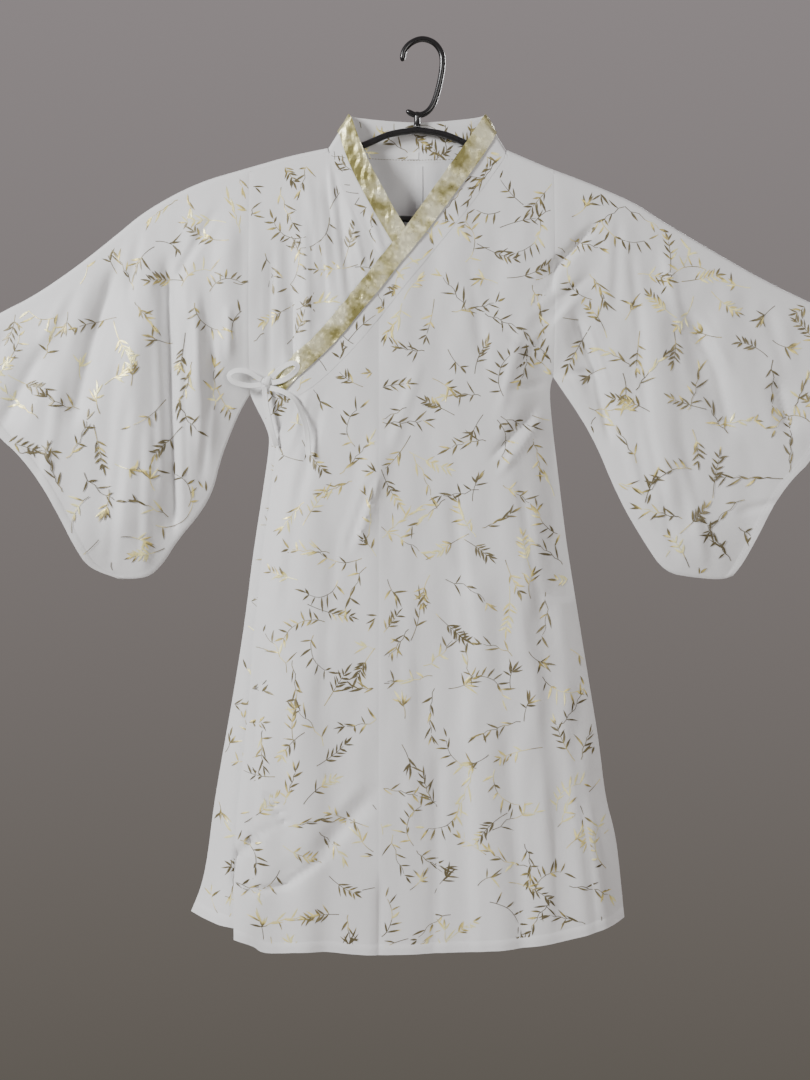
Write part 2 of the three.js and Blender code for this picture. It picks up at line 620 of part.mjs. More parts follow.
function buildFronts() {
  const over = {
    layer: "over",
    seam: SEAM_OVER,
    hem: (x) => heightAt(HEM_OVER, x),
    reachesShoulder: (x) => x > 0,
  };
  const under = {
    layer: "under",
    seam: SEAM_UNDER,
    hem: (x) => heightAt(HEM_UNDER, x),
    reachesShoulder: (x) => x < 0,
  };
  const frontOver = {
    ...over,
    left: always(OVERLAP_SEAM + HALF_SEAM),
    right: sideRight,
    starts: [-28, -5, 17, 36, 54, 72, 87, 98, 101.2, 102.2, 103, 116, 130, 143],
    rows: 26,
  };
  const overlapOver = {
    ...over,
    left: (z) => acrossAt(FREE_OVER, z),
    right: always(OVERLAP_SEAM - HALF_SEAM),
    starts: [-138, -127, -114, -102, -91, -80, -68, -56],
    rows: 22,
  };
  const frontUnder = {
    ...under,
    left: sideLeft,
    right: always(-OVERLAP_SEAM - HALF_SEAM),
    starts: [
      -176, -161, -146, -131, -117, -103, -102.2, -101.2, -98, -92.5, -85, -73, -61, -39, -15, 4.5, 24,
    ],
    rows: 20,
  };
  const overlapUnder = {
    ...under,
    left: always(-OVERLAP_SEAM + HALF_SEAM),
    right: (z) => acrossAt(FREE_UNDER, z),
    starts: [50, 62, 74],
    rows: 14,
  };
  add("front_over", panel(frontOver), PRINTED_CLOTH());
  add("overlap_over", panel(overlapOver), PRINTED_CLOTH());
  add("front_under", panel(frontUnder), PRINTED_CLOTH());
  add("overlap_under", panel(overlapUnder), PRINTED_CLOTH());
}

// A sleeve: rings from the armhole to the cuff, each from the crest down the front, round the underarm fold
// and up the back, on a patch between the four edges
function sleeve({ armhole, crest, underarm, cuff, out, rings }) {
  const start = armhole + out * HALF_SEAM;
  const armTop = { x: start, z: crest[0].z };
  const armFoot = { x: start, z: underarm[0].z };
  const patch = (t, w) => {
    const top = alongTable(crest, t);
    const foot = alongTable(underarm, t);
    const arm = { x: start, z: lerp(armTop.z, armFoot.z, w) };
    const end = alongTable(cuff, w);
    const corner = (key) =>
      (1 - t) * (1 - w) * armTop[key] +
      t * (1 - w) * cuff[0][key] +
      (1 - t) * w * armFoot[key] +
      t * w * cuff[cuff.length - 1][key];
    const at = (key) =>
      (1 - w) * top[key] + w * foot[key] + (1 - t) * arm[key] + t * end[key] - corner(key);
    return { x: t === 0 ? start : at("x"), z: at("z") };
  };
  const downs = 11; // steps from the crest to the underarm
  const turns = 2; // how many of them turn over the crest
  const grid = steps(rings).map((t) => {
    const ridge = lerp(RIDGE, CUFF_RIDGE, t);
    const top = patch(t, 0);
    const foot = patch(t, 1);
    const width = Math.hypot(foot.x - top.x, foot.z - top.z);
    // k counts down from the crest: a quarter turn first, then even steps to the underarm
    const pointAt = (side, k) => {
      const turn = Math.min(k / turns, 1) * (Math.PI / 2);
      const even = (k - turns) / (downs - turns);
      const drop = k <= turns ? ridge * (1 - Math.cos(turn)) : lerp(ridge, width, even);
      const at = patch(t, drop / width);
      const depth = depthAt(side, at.x, at.z, ridge * Math.sin(turn));
      return new THREE.Vector3(at.x, side === "front" ? -depth : depth, at.z);
    };
    const ring = [];
    for (let k = 0; k <= downs; k++) ring.push(pointAt("front", k));
    const below = new THREE.Vector3(foot.x, 0, foot.z - SEAM_DEPTH);
    ring.push(below);
    for (let k = downs; k >= 1; k--) ring.push(pointAt("back", k));
    return ring;
  });
  const flatEnds = (normals) => normals[0].forEach((n) => n.setX(0).normalize());
  return wall(grid, { closed: true, flatEnds });
}

function buildSleeves() {
  const armLeft = CREST.findIndex((row) => row.x === ARMHOLE_LEFT);
  const armRight = CREST.findIndex((row) => row.x === ARMHOLE_RIGHT);
  const left = {
    armhole: ARMHOLE_LEFT,
    crest: CREST.slice(0, armLeft + 1).reverse(),
    underarm: UNDERARM_LEFT,
    cuff: CUFF_LEFT,
    out: -1,
    rings: 18,
  };
  const right = {
    armhole: ARMHOLE_RIGHT,
    crest: CREST.slice(armRight),
    underarm: UNDERARM_RIGHT,
    cuff: CUFF_RIGHT,
    out: 1,
    rings: 18,
  };
  add("sleeve_left", sleeve(left), PRINTED_CLOTH());
  add("sleeve_right", sleeve(right), PRINTED_CLOTH());
}

// Middle of the neckband at a section, at a share of its width from the seam to the free edge
function bandPoint(row, share) {
  const x = lerp(row.seamX, row.edgeX, share);
  const z = lerp(row.seamZ, row.edgeZ, share);
  const round = RIDGE * Math.abs(Math.sin(THREE.MathUtils.degToRad(row.turn)));
  if (row.turn === 0) return new THREE.Vector3(x, 0, z);
  return clothPoint(row.layer, x, z, round);
}

function buildNeckband() {
  const band = BAND.map((row) => steps(4).map((share) => bandPoint(row, share)));
  add("neckband", wall(band), PRINTED_CLOTH());
  const from = 1 - TRIM_WIDTH / BAND_WIDTH;
  const strip = BAND.map((row) => steps(2).map((share) => bandPoint(row, lerp(from, 1, share))));
  const lift = CLOTH / 2 + SEAM_GAP;
  add("neckband_trim", wall(strip, { out: -lift, inside: lift + TRIM_WALL }), SATIN());
  const label = [LABEL.foot, LABEL.top].map((z) =>
    [LABEL.left, LABEL.right].map((x) => labelPoint(x, z)),
  );
  add("neck_label", wall(label, { out: LABEL_WALL, inside: 0 }), LABEL_CLOTH());
}

// The label lies on the inner face of the back of the neckband
function labelPoint(x, z) {
  const middle = clothPoint("back", x, z);
  return middle.setY(middle.y - CLOTH / 2 - SEAM_GAP);
}

const RIBBON_SIDES = 8;

// A ribbon swept along a line, flat to the front
function ribbon(line, stepsAlong) {
  const { wide, thick } = BOW.ribbon;
  const curve = new THREE.CatmullRomCurve3(line.map((p) => new THREE.Vector3(p.x, p.y, p.z)));
  const section = steps(RIBBON_SIDES - 1).map((_, i) => (i / RIBBON_SIDES) * Math.PI * 2);
  const rings = steps(stepsAlong).map((t) => {
    const centre = curve.getPointAt(t);
    const along = curve.getTangentAt(t);
    const side = new THREE.Vector3(-along.z, 0, along.x).normalize();
    const depth = new THREE.Vector3().crossVectors(along, side).normalize();
    return section.map((angle) =>
      centre
        .clone()
        .addScaledVector(side, (Math.cos(angle) * wide) / 2)
        .addScaledVector(depth, (Math.sin(angle) * thick) / 2),
    );
  });
  return capped(rings);
}

// A solid from closed rings with a flat cap at each end
function capped(rings) {
  const count = rings[0].length;
  const positions = rings.flat().flatMap((p) => p.toArray());
  const cells = [];
  for (let i = 0; i < rings.length - 1; i++)
    for (let j = 0; j < count; j++) {
      const k = (j + 1) % count;
      const [a, b, c, d] = [i * count + j, i * count + k, (i + 1) * count + k, (i + 1) * count + j];
      cells.push(a, b, c, a, c, d);
    }
  const end = (rings.length - 1) * count;
  for (let j = 1; j < count - 1; j++) {
    cells.push(0, j + 1, j);
    cells.push(end, end + j, end + j + 1);
  }
  return facingOut(triangles(positions, cells));
}

function buildBow() {
  const { knot } = BOW;
  const ball = new THREE.SphereGeometry(1, 12, 8);
  ball.scale(knot.wide, knot.deep, knot.tall).translate(knot.x, knot.y, knot.z);
  add("tie_knot", ball, TIE_CLOTH());
  add("tie_loop_left", ribbon(LOOP_LEFT, 20), TIE_CLOTH());
  add("tie_loop_right", ribbon(LOOP_RIGHT, 18), TIE_CLOTH());
  add("tie_tail_inner", ribbon(TAIL_INNER, 8), TIE_CLOTH());
  add("tie_tail_outer", ribbon(TAIL_OUTER, 12), TIE_CLOTH());
}

const ROD_SIDES = 8;
const smoothLine = (line, closed) =>
  new THREE.CatmullRomCurve3(line.map((p) => new THREE.Vector3(p.x, 0, p.z)), closed, "centripetal");

// A round rod along a line in the plane of the shoulders
function rod(line, radius, count) {
  const curve = smoothLine(line, false);
  const shape = new THREE.Shape();
  for (let i = 0; i < ROD_SIDES; i++) {
    const angle = ((i + 0.5) / ROD_SIDES) * Math.PI * 2;
    const at = [Math.cos(angle) * radius, Math.sin(angle) * radius];
    if (i === 0) shape.moveTo(...at);
    else shape.lineTo(...at);
  }
  shape.closePath();
  return new THREE.ExtrudeGeometry(shape, { steps: count, extrudePath: curve, bevelEnabled: false });
}

function solidFrom(geometry) {
  const plain = geometry.clone();
  plain.deleteAttribute("normal");
  plain.deleteAttribute("uv");
  const merged = mergeVertices(plain, 1e-3);
  const triVerts = new Uint32Array(merged.index.array);
  const vertProperties = merged.getAttribute("position").array;
  return new wasm.Manifold(new wasm.Mesh({ numProp: 3, vertProperties, triVerts }));
}

function geometryFrom(solid) {
  const mesh = solid.getMesh();
  return triangles(Array.from(mesh.vertProperties), Array.from(mesh.triVerts));
}

function buildHanger() {
  const mirrored = ARM.slice(1).reverse().map((p) => ({ x: -p.x, z: p.z }));
  const bar = steps(5).slice(1, -1).map((f) => ({ x: lerp(ARM.at(-1).x, -ARM.at(-1).x, f), z: BAR_Z }));
  add("hanger_frame", solidLoop([...ARM, ...bar, ...mirrored]), BLACK_PLASTIC());
  const hook = solidFrom(rod(HOOK, HOOK_ROD, 34));
  const stem = new THREE.CylinderGeometry(STEM.radius, STEM.radius, STEM.top - STEM.foot, 12);
  stem.rotateX(Math.PI / 2).translate(0, 0, (STEM.top + STEM.foot) / 2);
  add("hanger_hook", geometryFrom(hook.add(solidFrom(stem))), BLACK_PLASTIC());
}

// A rod that closes on itself
function solidLoop(line) {
  const curve = smoothLine(line, true);
  const [count, sides] = [72, ROD_SIDES];
  const grid = [];
  for (let i = 0; i < count; i++) {
    const centre = curve.getPointAt(i / count);
    const along = curve.getTangentAt(i / count);
    const side = new THREE.Vector3(-along.z, 0, along.x);
    const ring = [];
    for (let j = 0; j < sides; j++) {
      const angle = ((j + 0.5) / sides) * Math.PI * 2;
      const point = centre.clone().addScaledVector(side, Math.cos(angle) * HANGER_ROD);
      ring.push(point.setY(Math.sin(angle) * HANGER_ROD));
    }
    grid.push(ring);
  }
  const positions = grid.flat().flatMap((p) => p.toArray());
  const cells = [];
  for (let i = 0; i < count; i++)
    for (let j = 0; j < sides; j++) {
      const [n, k] = [(i + 1) % count, (j + 1) % sides];
      const [a, b, c, d] = [i * sides + j, i * sides + k, n * sides + k, n * sides + j];
      cells.push(a, b, c, a, c, d);
    }
  return facingOut(triangles(positions, cells));
}

buildBack();
buildFronts();
buildSleeves();
buildNeckband();
buildBow();
buildHanger();

export default garment;
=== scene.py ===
import math

import bpy
import numpy as np
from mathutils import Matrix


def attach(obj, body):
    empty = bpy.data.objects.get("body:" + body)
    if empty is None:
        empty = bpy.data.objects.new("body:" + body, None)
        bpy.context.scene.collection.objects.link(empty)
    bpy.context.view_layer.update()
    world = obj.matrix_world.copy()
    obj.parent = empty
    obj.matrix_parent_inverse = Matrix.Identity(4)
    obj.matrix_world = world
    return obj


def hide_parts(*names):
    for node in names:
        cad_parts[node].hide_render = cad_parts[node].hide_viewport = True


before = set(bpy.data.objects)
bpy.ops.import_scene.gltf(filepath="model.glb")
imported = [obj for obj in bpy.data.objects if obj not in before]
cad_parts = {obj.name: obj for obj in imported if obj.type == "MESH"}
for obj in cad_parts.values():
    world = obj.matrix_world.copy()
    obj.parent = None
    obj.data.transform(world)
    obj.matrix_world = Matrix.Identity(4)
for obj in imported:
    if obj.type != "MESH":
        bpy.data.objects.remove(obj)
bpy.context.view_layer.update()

# Sizes in millimetres, as in the frame: x runs from the centre-back seam, z from the inside top of the hook
MM = 0.001
CENTRE_X = -6.5
CLOTH = 0.7  # wall of a cloth shell
BAND_WALL = 1.3
TRIM_WALL, TRIM_LIFT = 0.6, 1.15
HAIR = 0.12  # between pieces that are sewn flat on each other
RIDGE, CUFF_RIDGE = 5.5, 3.0  # round of the shoulder line, and of its end at the cuff
SEAM_DEPTH = CLOTH / 2 + 0.15
SEAM_GAP = 0.02
HALF_GAP = SEAM_GAP / 2
SHOULDER_SEAM_RUN = 9.0  # the shoulder seam lies this far round to the front
GROW, EDGE_REACH = 130.0, 75.0  # the depth is full this far from the shoulder line and from a closed edge
LAYER = {"top": 4.5, "hem": 8.5, "from": -450.0, "to": -800.0}  # distance between the two fronts
WRAP = 60.0  # half the strip over which the fronts change places
ARMHOLE_LEFT, ARMHOLE_RIGHT = -192.0, 156.4
NECK_SIDE = 102.5
OVERLAP_SEAM = -43.7
BAND_WIDTH, TRIM_WIDTH = 42.0, 22.0
HEM_TURN = 11.0  # height of the turned hem
HEM_RISE, CUFF_RISE, SEAM_DIP, ARMHOLE_DIP = 0.45, 0.4, 0.30, 0.55
SEAM_SPREAD, ARMHOLE_SPREAD = 2.2, 0.006  # of the dips, in millimetres and as a share of the sleeve
CUFF_SHARE = 0.973  # along the sleeve, where its turned hem begins
DROPS = {"chest": -260.0, "waist": -470.0, "hem": -1040.0}
DEPTHS = {"chest": 20.0, "waist": 25.0, "hem": 33.0}
SLEEVE_DEPTH, SLEEVE_FOOT, SLEEVE_BLEND = 19.0, -640.0, 60.0
FOLD_REACH = 50.0  # folds rise from nothing over this length at each end
# How far from the shoulder line they begin and are full, and how far from a closed edge they are full
FOLD_FADE, CREASE_FADE = (15.0, 60.0, 30.0), (8.0, 38.0, 22.0)
SHARP_EDGE = math.radians(55)
PITCH = 4.0  # of the cloth grids
ROUND_ROWS = 12  # grid rows round the shoulder line
ROUND_FOOT = 7.0  # at least this much run for them
NECK_MARKS = (0.5, -0.3, -1.3)  # closer columns at the side of the neck
SLEEVE_TURNS, SLEEVE_ROWS = 6, 78  # of each sleeve ring, round the crest and down one face
HANGER_ROD, HOOK_ROD, BAR_Z = 3.8, 3.4, -203.5
PRINT_LIFT, LEAF_CROWN, LEAF_TILT = 0.16, 0.07, 0.5  # of the foil over the cloth
STITCH = {"pitch": 3.4, "length": 2.3, "width": 0.38}
SEED = 11

# Photo frame: 810 by 1080 pixels, 1.15 mm each, about the pixel at the middle of the view
VIEW = {"middle": (-20.4, -572.7), "height": 1242.0, "lens": 60.0, "sensor": 36.0}


def table(*rows):
    return np.array(rows, dtype=float)


CREST = table(
    (-554, -356.5), (-479.6, -311.7), (-441.6, -293.3), (-391, -258.8), (-345, -222), (-310.5, -193.2),
    (-253, -162.2), (-192, -144.8), (-147, -131.6), (-102.5, -122.5), (-77, -84), (77, -84),
    (102.5, -124.5), (147.2, -143.8), (156.4, -147.3), (208.2, -166.8), (254.2, -187.5), (273.7, -201.3),
    (331.2, -235.8), (396.8, -273.7), (452, -300.2), (538.2, -340.4),
)
SIDE_LEFT = table(
    (-192, -403.7), (-188.6, -413), (-171.4, -446), (-169, -462), (-178, -523), (-188.6, -590),
    (-197.8, -667), (-209.8, -743), (-222, -811), (-233.5, -877.5), (-241, -940), (-248.4, -973),
    (-259.9, -1000),
)
SIDE_RIGHT = table(
    (156.4, -384), (151.5, -400), (155.3, -442.8), (161.6, -494.5), (170, -564.7), (176, -604),
    (195.5, -724.5), (209, -805), (216, -868), (226.6, -906), (231, -935), (238, -1006),
)
UNDERARM_LEFT = table(
    (-192, -403.7), (-203.6, -423.2), (-215, -449.7), (-226.6, -480.7), (-234.6, -515.2), (-249.6, -541.7),
    (-276, -572.7), (-292, -599.2), (-310.5, -616.4), (-345, -616.4),
)
CUFF_LEFT = table(
    (-554, -356.5), (-479.6, -454.3), (-456.6, -472.7), (-430, -507.2), (-410.6, -541.7), (-391, -580.8),
    (-376, -604.9), (-345, -616.4),
)
UNDERARM_RIGHT = table(
    (156.4, -384), (201.3, -449.7), (231.2, -523.3), (262.2, -576.2), (285.2, -609.5), (319.7, -615.3),
    (350.8, -617.6), (363.4, -613),
)
CUFF_RIGHT = table(
    (538.2, -340.4), (452, -480.7), (426.7, -503.7), (404, -537), (388.7, -569.3), (373.8, -599.2),
    (363.4, -613),
)
HEM_OVER = table(
    (-207, -1024), (-184, -1030), (-173.7, -1040), (-116, -1035), (-63, -1040.8), (-16, -1040.8),
    (70, -1038.5), (138, -1032.7), (176, -1026), (224, -1014), (238, -1006),
)
HEM_UNDER = table((-259.9, -999), (-241.5, -1006), (-212.8, -1014), (0, -1028), (190, -1018))
HEM_BACK = table((-259.9, -999), (-200, -1010), (0, -1024), (200, -1012), (238, -1006))
FREE_OVER = table(
    (-146, -416), (-161, -462), (-169, -532), (-176, -581), (-186, -676), (-193, -772), (-198, -820),
    (-204.7, -891), (-208, -960), (-207, -1026),
)
FREE_UNDER = table((84, -416), (97, -470), (122, -600), (160, -800), (184, -1030))

# Neckband sections: turn over the shoulder in degrees, seam x and z, free edge x and z
BAND_OVER = table(
    (-90, -138, -410, -163, -394.5), (-90, -127, -404, -156, -381), (-90, -114, -395, -146, -368),
    (-90, -91, -374, -123, -347), (-90, -68, -350, -100, -323), (-90, -48, -326, -80, -298),
    (-90, -28, -301, -60, -274), (-90, -5, -272, -38, -246), (-90, 17, -245, -15, -218.5),
    (-90, 36, -222, 3.5, -193), (-90, 54, -199, 21, -168), (-90, 72, -175, 38, -144),
    (-90, 87, -154, 54, -121), (-90, 98, -137.5, 67, -101), (-90, 100.6, -131, 73.5, -90.5),
    (-45, 101, -126.4, 76, -86), (0, 101.2, -124.6, 77, -84),
)
BAND_BACK = table(
    (45, 100.2, -126.4, 75.6, -84.4), (90, 95, -130, 70.5, -85.5), (90, 80, -132, 60, -87),
    (90, 55, -134, 42, -88.8), (90, 27, -135.5, 21, -90.4), (90, 0, -136, 0, -91),
    (90, -27, -135.5, -21, -90.4), (90, -55, -134, -42, -88.8), (90, -80, -131, -60, -87),
    (90, -95, -128, -70.5, -85.5), (45, -100.2, -124.4, -75.6, -84.4),
)
BAND_UNDER = table(
    (0, -101.2, -122.6, -77, -84), (-45, -101, -124.4, -76, -86), (-90, -99.9, -129.5, -74, -91),
    (-90, -98, -139.5, -68.5, -107), (-90, -92.5, -156, -59.5, -130), (-90, -85, -173, -49.5, -151.8),
    (-90, -73, -196, -36.5, -176), (-90, -61, -217.4, -24.7, -197.8), (-90, -39, -254, -3.5, -233),
    (-90, -15, -293, 20, -270), (-90, 24, -347, 58, -322), (-90, 50, -378, 83, -352),
    (-90, 74, -404, 106, -378),
)

# Folds, each along a line: x and z at the top, x and z at the foot, half width, rise outwards
FOLDS = {
    "front": table(
        (-286, -266, -279, -560, 22, -9), (-262, -290, -240, -470, 20, 6),
        (-347, -266, -392, -430, 28, -7), (-430, -358, -470, -440, 26, -5),
        (-320, -330, -335, -570, 26, 6), (-216, -220, -218, -370, 20, 5), (-122, -165, -92, -310, 16, 3.2),
        (-101, -165, -70, -290, 12, -1.5), (-146, -230, -146, -370, 15, -5),
        (199, -218, 136, -285, 11, -3.6), (193, -274, 132, -331, 13, -2.4), (182, -323, 220, -452, 22, -7),
        (311, -316, 357, -443, 28, -6), (266, -300, 285, -540, 28, 6), (412, -392, 427, -446, 24, -5),
        (133, -425, 92, -472, 14, -3), (-45, -470, -69, -575, 22, 4), (-54, -862, -155, -964, 20, -3.4),
        (62, -620, 92, -1060, 30, 6), (140, -640, 176, -1050, 26, -6), (-120, -700, -130, -1060, 30, 5),
    ),
    "back": table(
        (-286, -280, -292, -560, 24, 8), (-365, -300, -398, -500, 28, -7),
        (-225, -240, -222, -400, 22, -6), (205, -240, 228, -470, 24, -8), (280, -280, 308, -560, 26, 7),
        (372, -330, 392, -500, 26, -6), (-90, -230, -104, -620, 26, -5), (82, -240, 96, -560, 26, -5),
        (-70, -600, -92, -1060, 34, 7), (66, -640, 84, -1060, 32, 6), (-150, -700, -176, -1060, 30, -6),
        (138, -700, 160, -1060, 30, -6),
    ),
}
# Creases that lie on the folds: narrower and lower
CREASES = {
    "front": table(
        # sleeve at the viewer's left
        (-287, -262, -284, -400, 8, -3.4), (-284, -390, -279, -570, 7, -3), (-276, -270, -270, -540, 9, 3),
        (-297, -300, -290, -520, 9, 2.4), (-347, -262, -368, -330, 9, -2.4),
        (-366, -320, -392, -432, 10, -2.8), (-236, -205, -278, -280, 8, -2.2),
        (-262, -330, -262, -402, 6, -2), (-250, -300, -249, -400, 8, 2.4),
        (-215, -312, -214, -360, 7, 2.2), (-428, -352, -476, -442, 9, -2.2),
        (-330, -420, -352, -600, 10, -1.8), (-306, -440, -312, -610, 8, 1.8),
        (-408, -400, -424, -500, 10, 1.8), (-232, -340, -246, -500, 8, -2),
        (-318, -210, -330, -300, 9, -1.6), (-392, -268, -430, -350, 9, 1.6),
        (-470, -330, -500, -400, 10, -1.6),
        # front at the viewer's left, from the shoulder down
        (-100, -150, -84, -300, 5, 1.5), (-92, -160, -76, -300, 4.5, -1.1), (-78, -190, -60, -270, 5, 1.3),
        (-118, -160, -104, -290, 5, -1.2), (-127, -212, -124, -350, 6, 1.6),
        (-142, -296, -140, -376, 5, -2.2), (-152, -300, -150, -385, 6, 2.2),
        (-54, -200, -40, -246, 5, 1.8), (-165, -250, -170, -380, 7, -1.8),
        # chest and armhole at the viewer's right
        (202, -214, 158, -262, 5, -2.2), (160, -250, 152, -290, 5, -1.8), (154, -280, 132, -306, 5, -1.8),
        (195, -272, 160, -300, 5, -1.2), (188, -292, 128, -350, 7, 0.8), (170, -300, 120, -372, 6, -1.2),
        (152, -380, 96, -330, 9, -1.4), (150, -392, 104, -402, 6, -1.6), (134, -424, 88, -476, 5, -2),
        (140, -436, 98, -492, 7, 1.8), (120, -330, 96, -420, 9, 1.4), (60, -260, 78, -380, 10, -1.2),
        # sleeve at the viewer's right
        (182, -322, 206, -382, 7, -3.2), (204, -374, 220, -454, 7, -2.6), (194, -330, 218, -400, 8, 2.4),
        (168, -388, 198, -446, 6, 2.2), (162, -382, 210, -380, 5, -1.6), (312, -316, 346, -384, 8, -2.2),
        (342, -376, 358, -444, 8, -2), (326, -318, 356, -380, 8, 1.8), (412, -390, 427, -448, 7, -2.2),
        (370, -540, 410, -530, 7, -1.8), (240, -470, 270, -560, 9, 2), (262, -440, 296, -590, 8, -1.8),
        (230, -210, 226, -300, 9, -1.6), (282, -240, 300, -330, 9, 1.6), (300, -480, 330, -600, 9, 1.6),
        (400, -300, 420, -380, 10, -1.4), (468, -330, 462, -430, 10, 1.5), (246, -250, 262, -430, 9, -1.6),
        # skirt
        (-45, -504, -69, -578, 7, 2.2), (-52, -510, -78, -584, 7, -1.8), (-170, -898, -203, -930, 5, -3.2),
        (-203, -924, -208, -966, 4, -2.6), (-54, -862, -110, -930, 7, -1.4),
        (-108, -932, -152, -964, 5, -2.8), (-148, -962, -190, -970, 5, -2),
        (-168, -862, -146, -898, 4.5, -3), (-66, -850, -130, -930, 8, 0.9), (62, -760, 70, -1050, 12, 1),
        (104, -800, 122, -1050, 12, -1.2), (134, -700, 152, -1000, 11, 0.9),
        (176, -780, 204, -1030, 10, -1.2), (-10, -640, -8, -900, 12, 1.2),
        (-90, -560, -110, -760, 11, -1.4), (-140, -480, -160, -640, 9, 1.4),
        (40, -520, 60, -690, 11, -1.3), (120, -520, 140, -660, 9, -1.6), (-176, -700, -190, -980, 7, -1.6),
        (24, -820, 20, -1050, 10, -1.6), (-40, -960, -44, -1050, 8, -1.6), (0, -380, -30, -470, 10, 1.2),
        (-110, -420, -132, -520, 8, -1.8), (-126, -412, -150, -480, 7, 1.8),
        (-224, -850, -236, -1000, 6, -1.6), (196, -880, 214, -1010, 7, 1.8),
    ),
    "back": table(
        (-287, -262, -290, -420, 8, -2.8), (-300, -380, -296, -580, 8, 2.4),
        (-262, -300, -252, -440, 7, -2.4), (-352, -280, -380, -420, 9, -2.4),
        (-420, -350, -450, -450, 9, 2), (-330, -420, -346, -600, 9, 1.8), (-236, -210, -250, -330, 8, 2),
        (-210, -300, -216, -390, 6, -2), (-392, -380, -410, -520, 8, -1.8),
        (-170, -380, -110, -330, 7, -2.2), (-165, -398, -100, -380, 7, 1.8),
        (-160, -430, -104, -470, 7, -2), (-120, -180, -96, -320, 7, 2), (-60, -170, -50, -300, 8, -1.6),
        (30, -170, 36, -300, 8, 1.6), (90, -180, 84, -330, 7, -2), (140, -370, 90, -320, 7, -2.4),
        (146, -392, 84, -384, 7, 2), (150, -420, 100, -470, 7, -2), (200, -260, 214, -400, 8, -2.6),
        (222, -300, 240, -470, 8, 2.2), (180, -320, 206, -420, 6, -2), (300, -280, 330, -440, 9, -2.2),
        (290, -440, 320, -590, 8, 1.8), (360, -330, 382, -470, 9, 1.8), (430, -340, 440, -440, 9, -1.8),
        (250, -440, 276, -570, 8, -1.8), (-150, -520, -164, -740, 9, 1.8),
        (-110, -640, -128, -1040, 9, -2.2), (-60, -700, -70, -1050, 9, 2),
        (-20, -560, -26, -1050, 10, -1.8), (20, -640, 26, -1050, 9, 1.8), (60, -560, 74, -1050, 9, -2),
        (110, -680, 130, -1040, 9, 2.2), (160, -720, 190, -1020, 8, -2), (-190, -760, -212, -1010, 7, 2),
        (-10, -180, -12, -420, 9, 1.4), (0, -420, 4, -560, 10, -1.2), (200, -860, 216, -1010, 7, 1.6),
    ),
}
# Low waves all over the cloth: length across, length down, slant, height
WAVES = table((61, 410, 0.10, 0.85), (37, 260, -0.16, 0.50), (93, 170, 0.32, 0.8), (24, 120, 0.2, 0.20))
CREASE_GAIN = 1.5

ARM = table(
    (0, -101.2), (32, -106.5), (64, -119.6), (102, -130.4), (135, -144.2), (152, -154), (162, -170),
    (159, -190), (143, -203.5),
)
HOOK = table(
    (-17.3, -22.4), (-14.5, -9.5), (-6, -0.5), (6.6, 3.4), (20, -1.5), (28.2, -14), (28.6, -32),
    (23.5, -57), (17, -74), (8, -82.6), (-3, -83.6), (-12.7, -78.7),
)
STEM = table(  # height and radius
    (-80.5, 2.2), (-82, 3.6), (-86, 3.5), (-90, 3.4), (-94, 3.6), (-95.6, 4.3), (-96.2, 4.4), (-97, 4.4),
)
KNOT = {"x": -170.1, "y": -20.5, "z": -392.0, "wide": 7.2, "deep": 4.6, "tall": 6.6}
RIBBON = {"wide": 6.2, "thick": 2.0}
LOOP_LEFT = table(
    (-177.8, -20.8, -390.5), (-192, -21, -381.5), (-206, -20, -380), (-214, -19.5, -385),
    (-209, -19, -392.5), (-194, -19, -396.5), (-178, -19.8, -396.2),
)
LOOP_RIGHT = table(
    (-165.6, -24.8, -388.2), (-153, -27.8, -377), (-141, -29.2, -372), (-135.5, -29.8, -377),
    (-142, -29.6, -385), (-153, -27.4, -391.5), (-164.9, -24.9, -394.2),
)
TAIL_INNER = table(
    (-174.2, -20, -398.8), (-173, -18.5, -412), (-170, -16.5, -430), (-166, -15.5, -448),
    (-161, -16.5, -466),
)
TAIL_OUTER = table(
    (-167.4, -22.4, -399.7), (-152, -28.4, -404.5), (-139, -32, -414), (-131, -33.4, -430),
    (-125.4, -34, -449), (-123, -34.6, -477),
)
LABEL = {"left": -10.8, "right": 1.7, "foot": -132.3, "top": -124.2, "wall": 0.5}


def make_camera():
    lens, sensor = VIEW["lens"], VIEW["sensor"]
    data = bpy.data.cameras.new("photo_camera")
    data.lens, data.sensor_width = lens, sensor
    data.clip_end = 50
    camera = bpy.data.objects.new("photo_camera", data)
    distance = VIEW["height"] * lens / sensor
    x, z = VIEW["middle"]
    camera.location = (x * MM, -distance * MM, z * MM)
    camera.rotation_euler = (math.radians(90), 0, 0)
    bpy.context.collection.objects.link(camera)
    bpy.context.scene.camera = camera


make_camera()


# Small helpers on numbers and arrays
def lerp(a, b, f):
    return a + (b - a) * f


def ease(f):
    f = np.clip(f, 0, 1)
    return f * f * (3 - 2 * f)


def swell(f):
    return np.sin(np.pi / 2 * np.clip(f, 0, 1))


def around(count):
    """Angles evenly round a full turn."""
    return np.linspace(0, 2 * np.pi, count, endpoint=False)


def blunt(wave, power):
    """A sine or cosine with fuller crests."""
    return np.sign(wave) * np.abs(wave) ** power


def unit(vectors):
    return vectors / np.maximum(np.linalg.norm(vectors, axis=-1, keepdims=True), 1e-9)


def ways(line, closed=False):
    """Unit directions along a line of points."""
    if closed:
        return unit(np.roll(line, -1, axis=0) - np.roll(line, 1, axis=0))
    return unit(np.gradient(line, axis=0))


def run_along(points):
    """Distance along a line from its start to each of its points."""
    return np.concatenate([[0], np.cumsum(np.linalg.norm(np.diff(points, axis=0), axis=1))])


def rows_at(at, run, rows):
    """Table rows at places along its run."""
    return np.stack([np.interp(at, run, column) for column in rows.T], axis=-1)


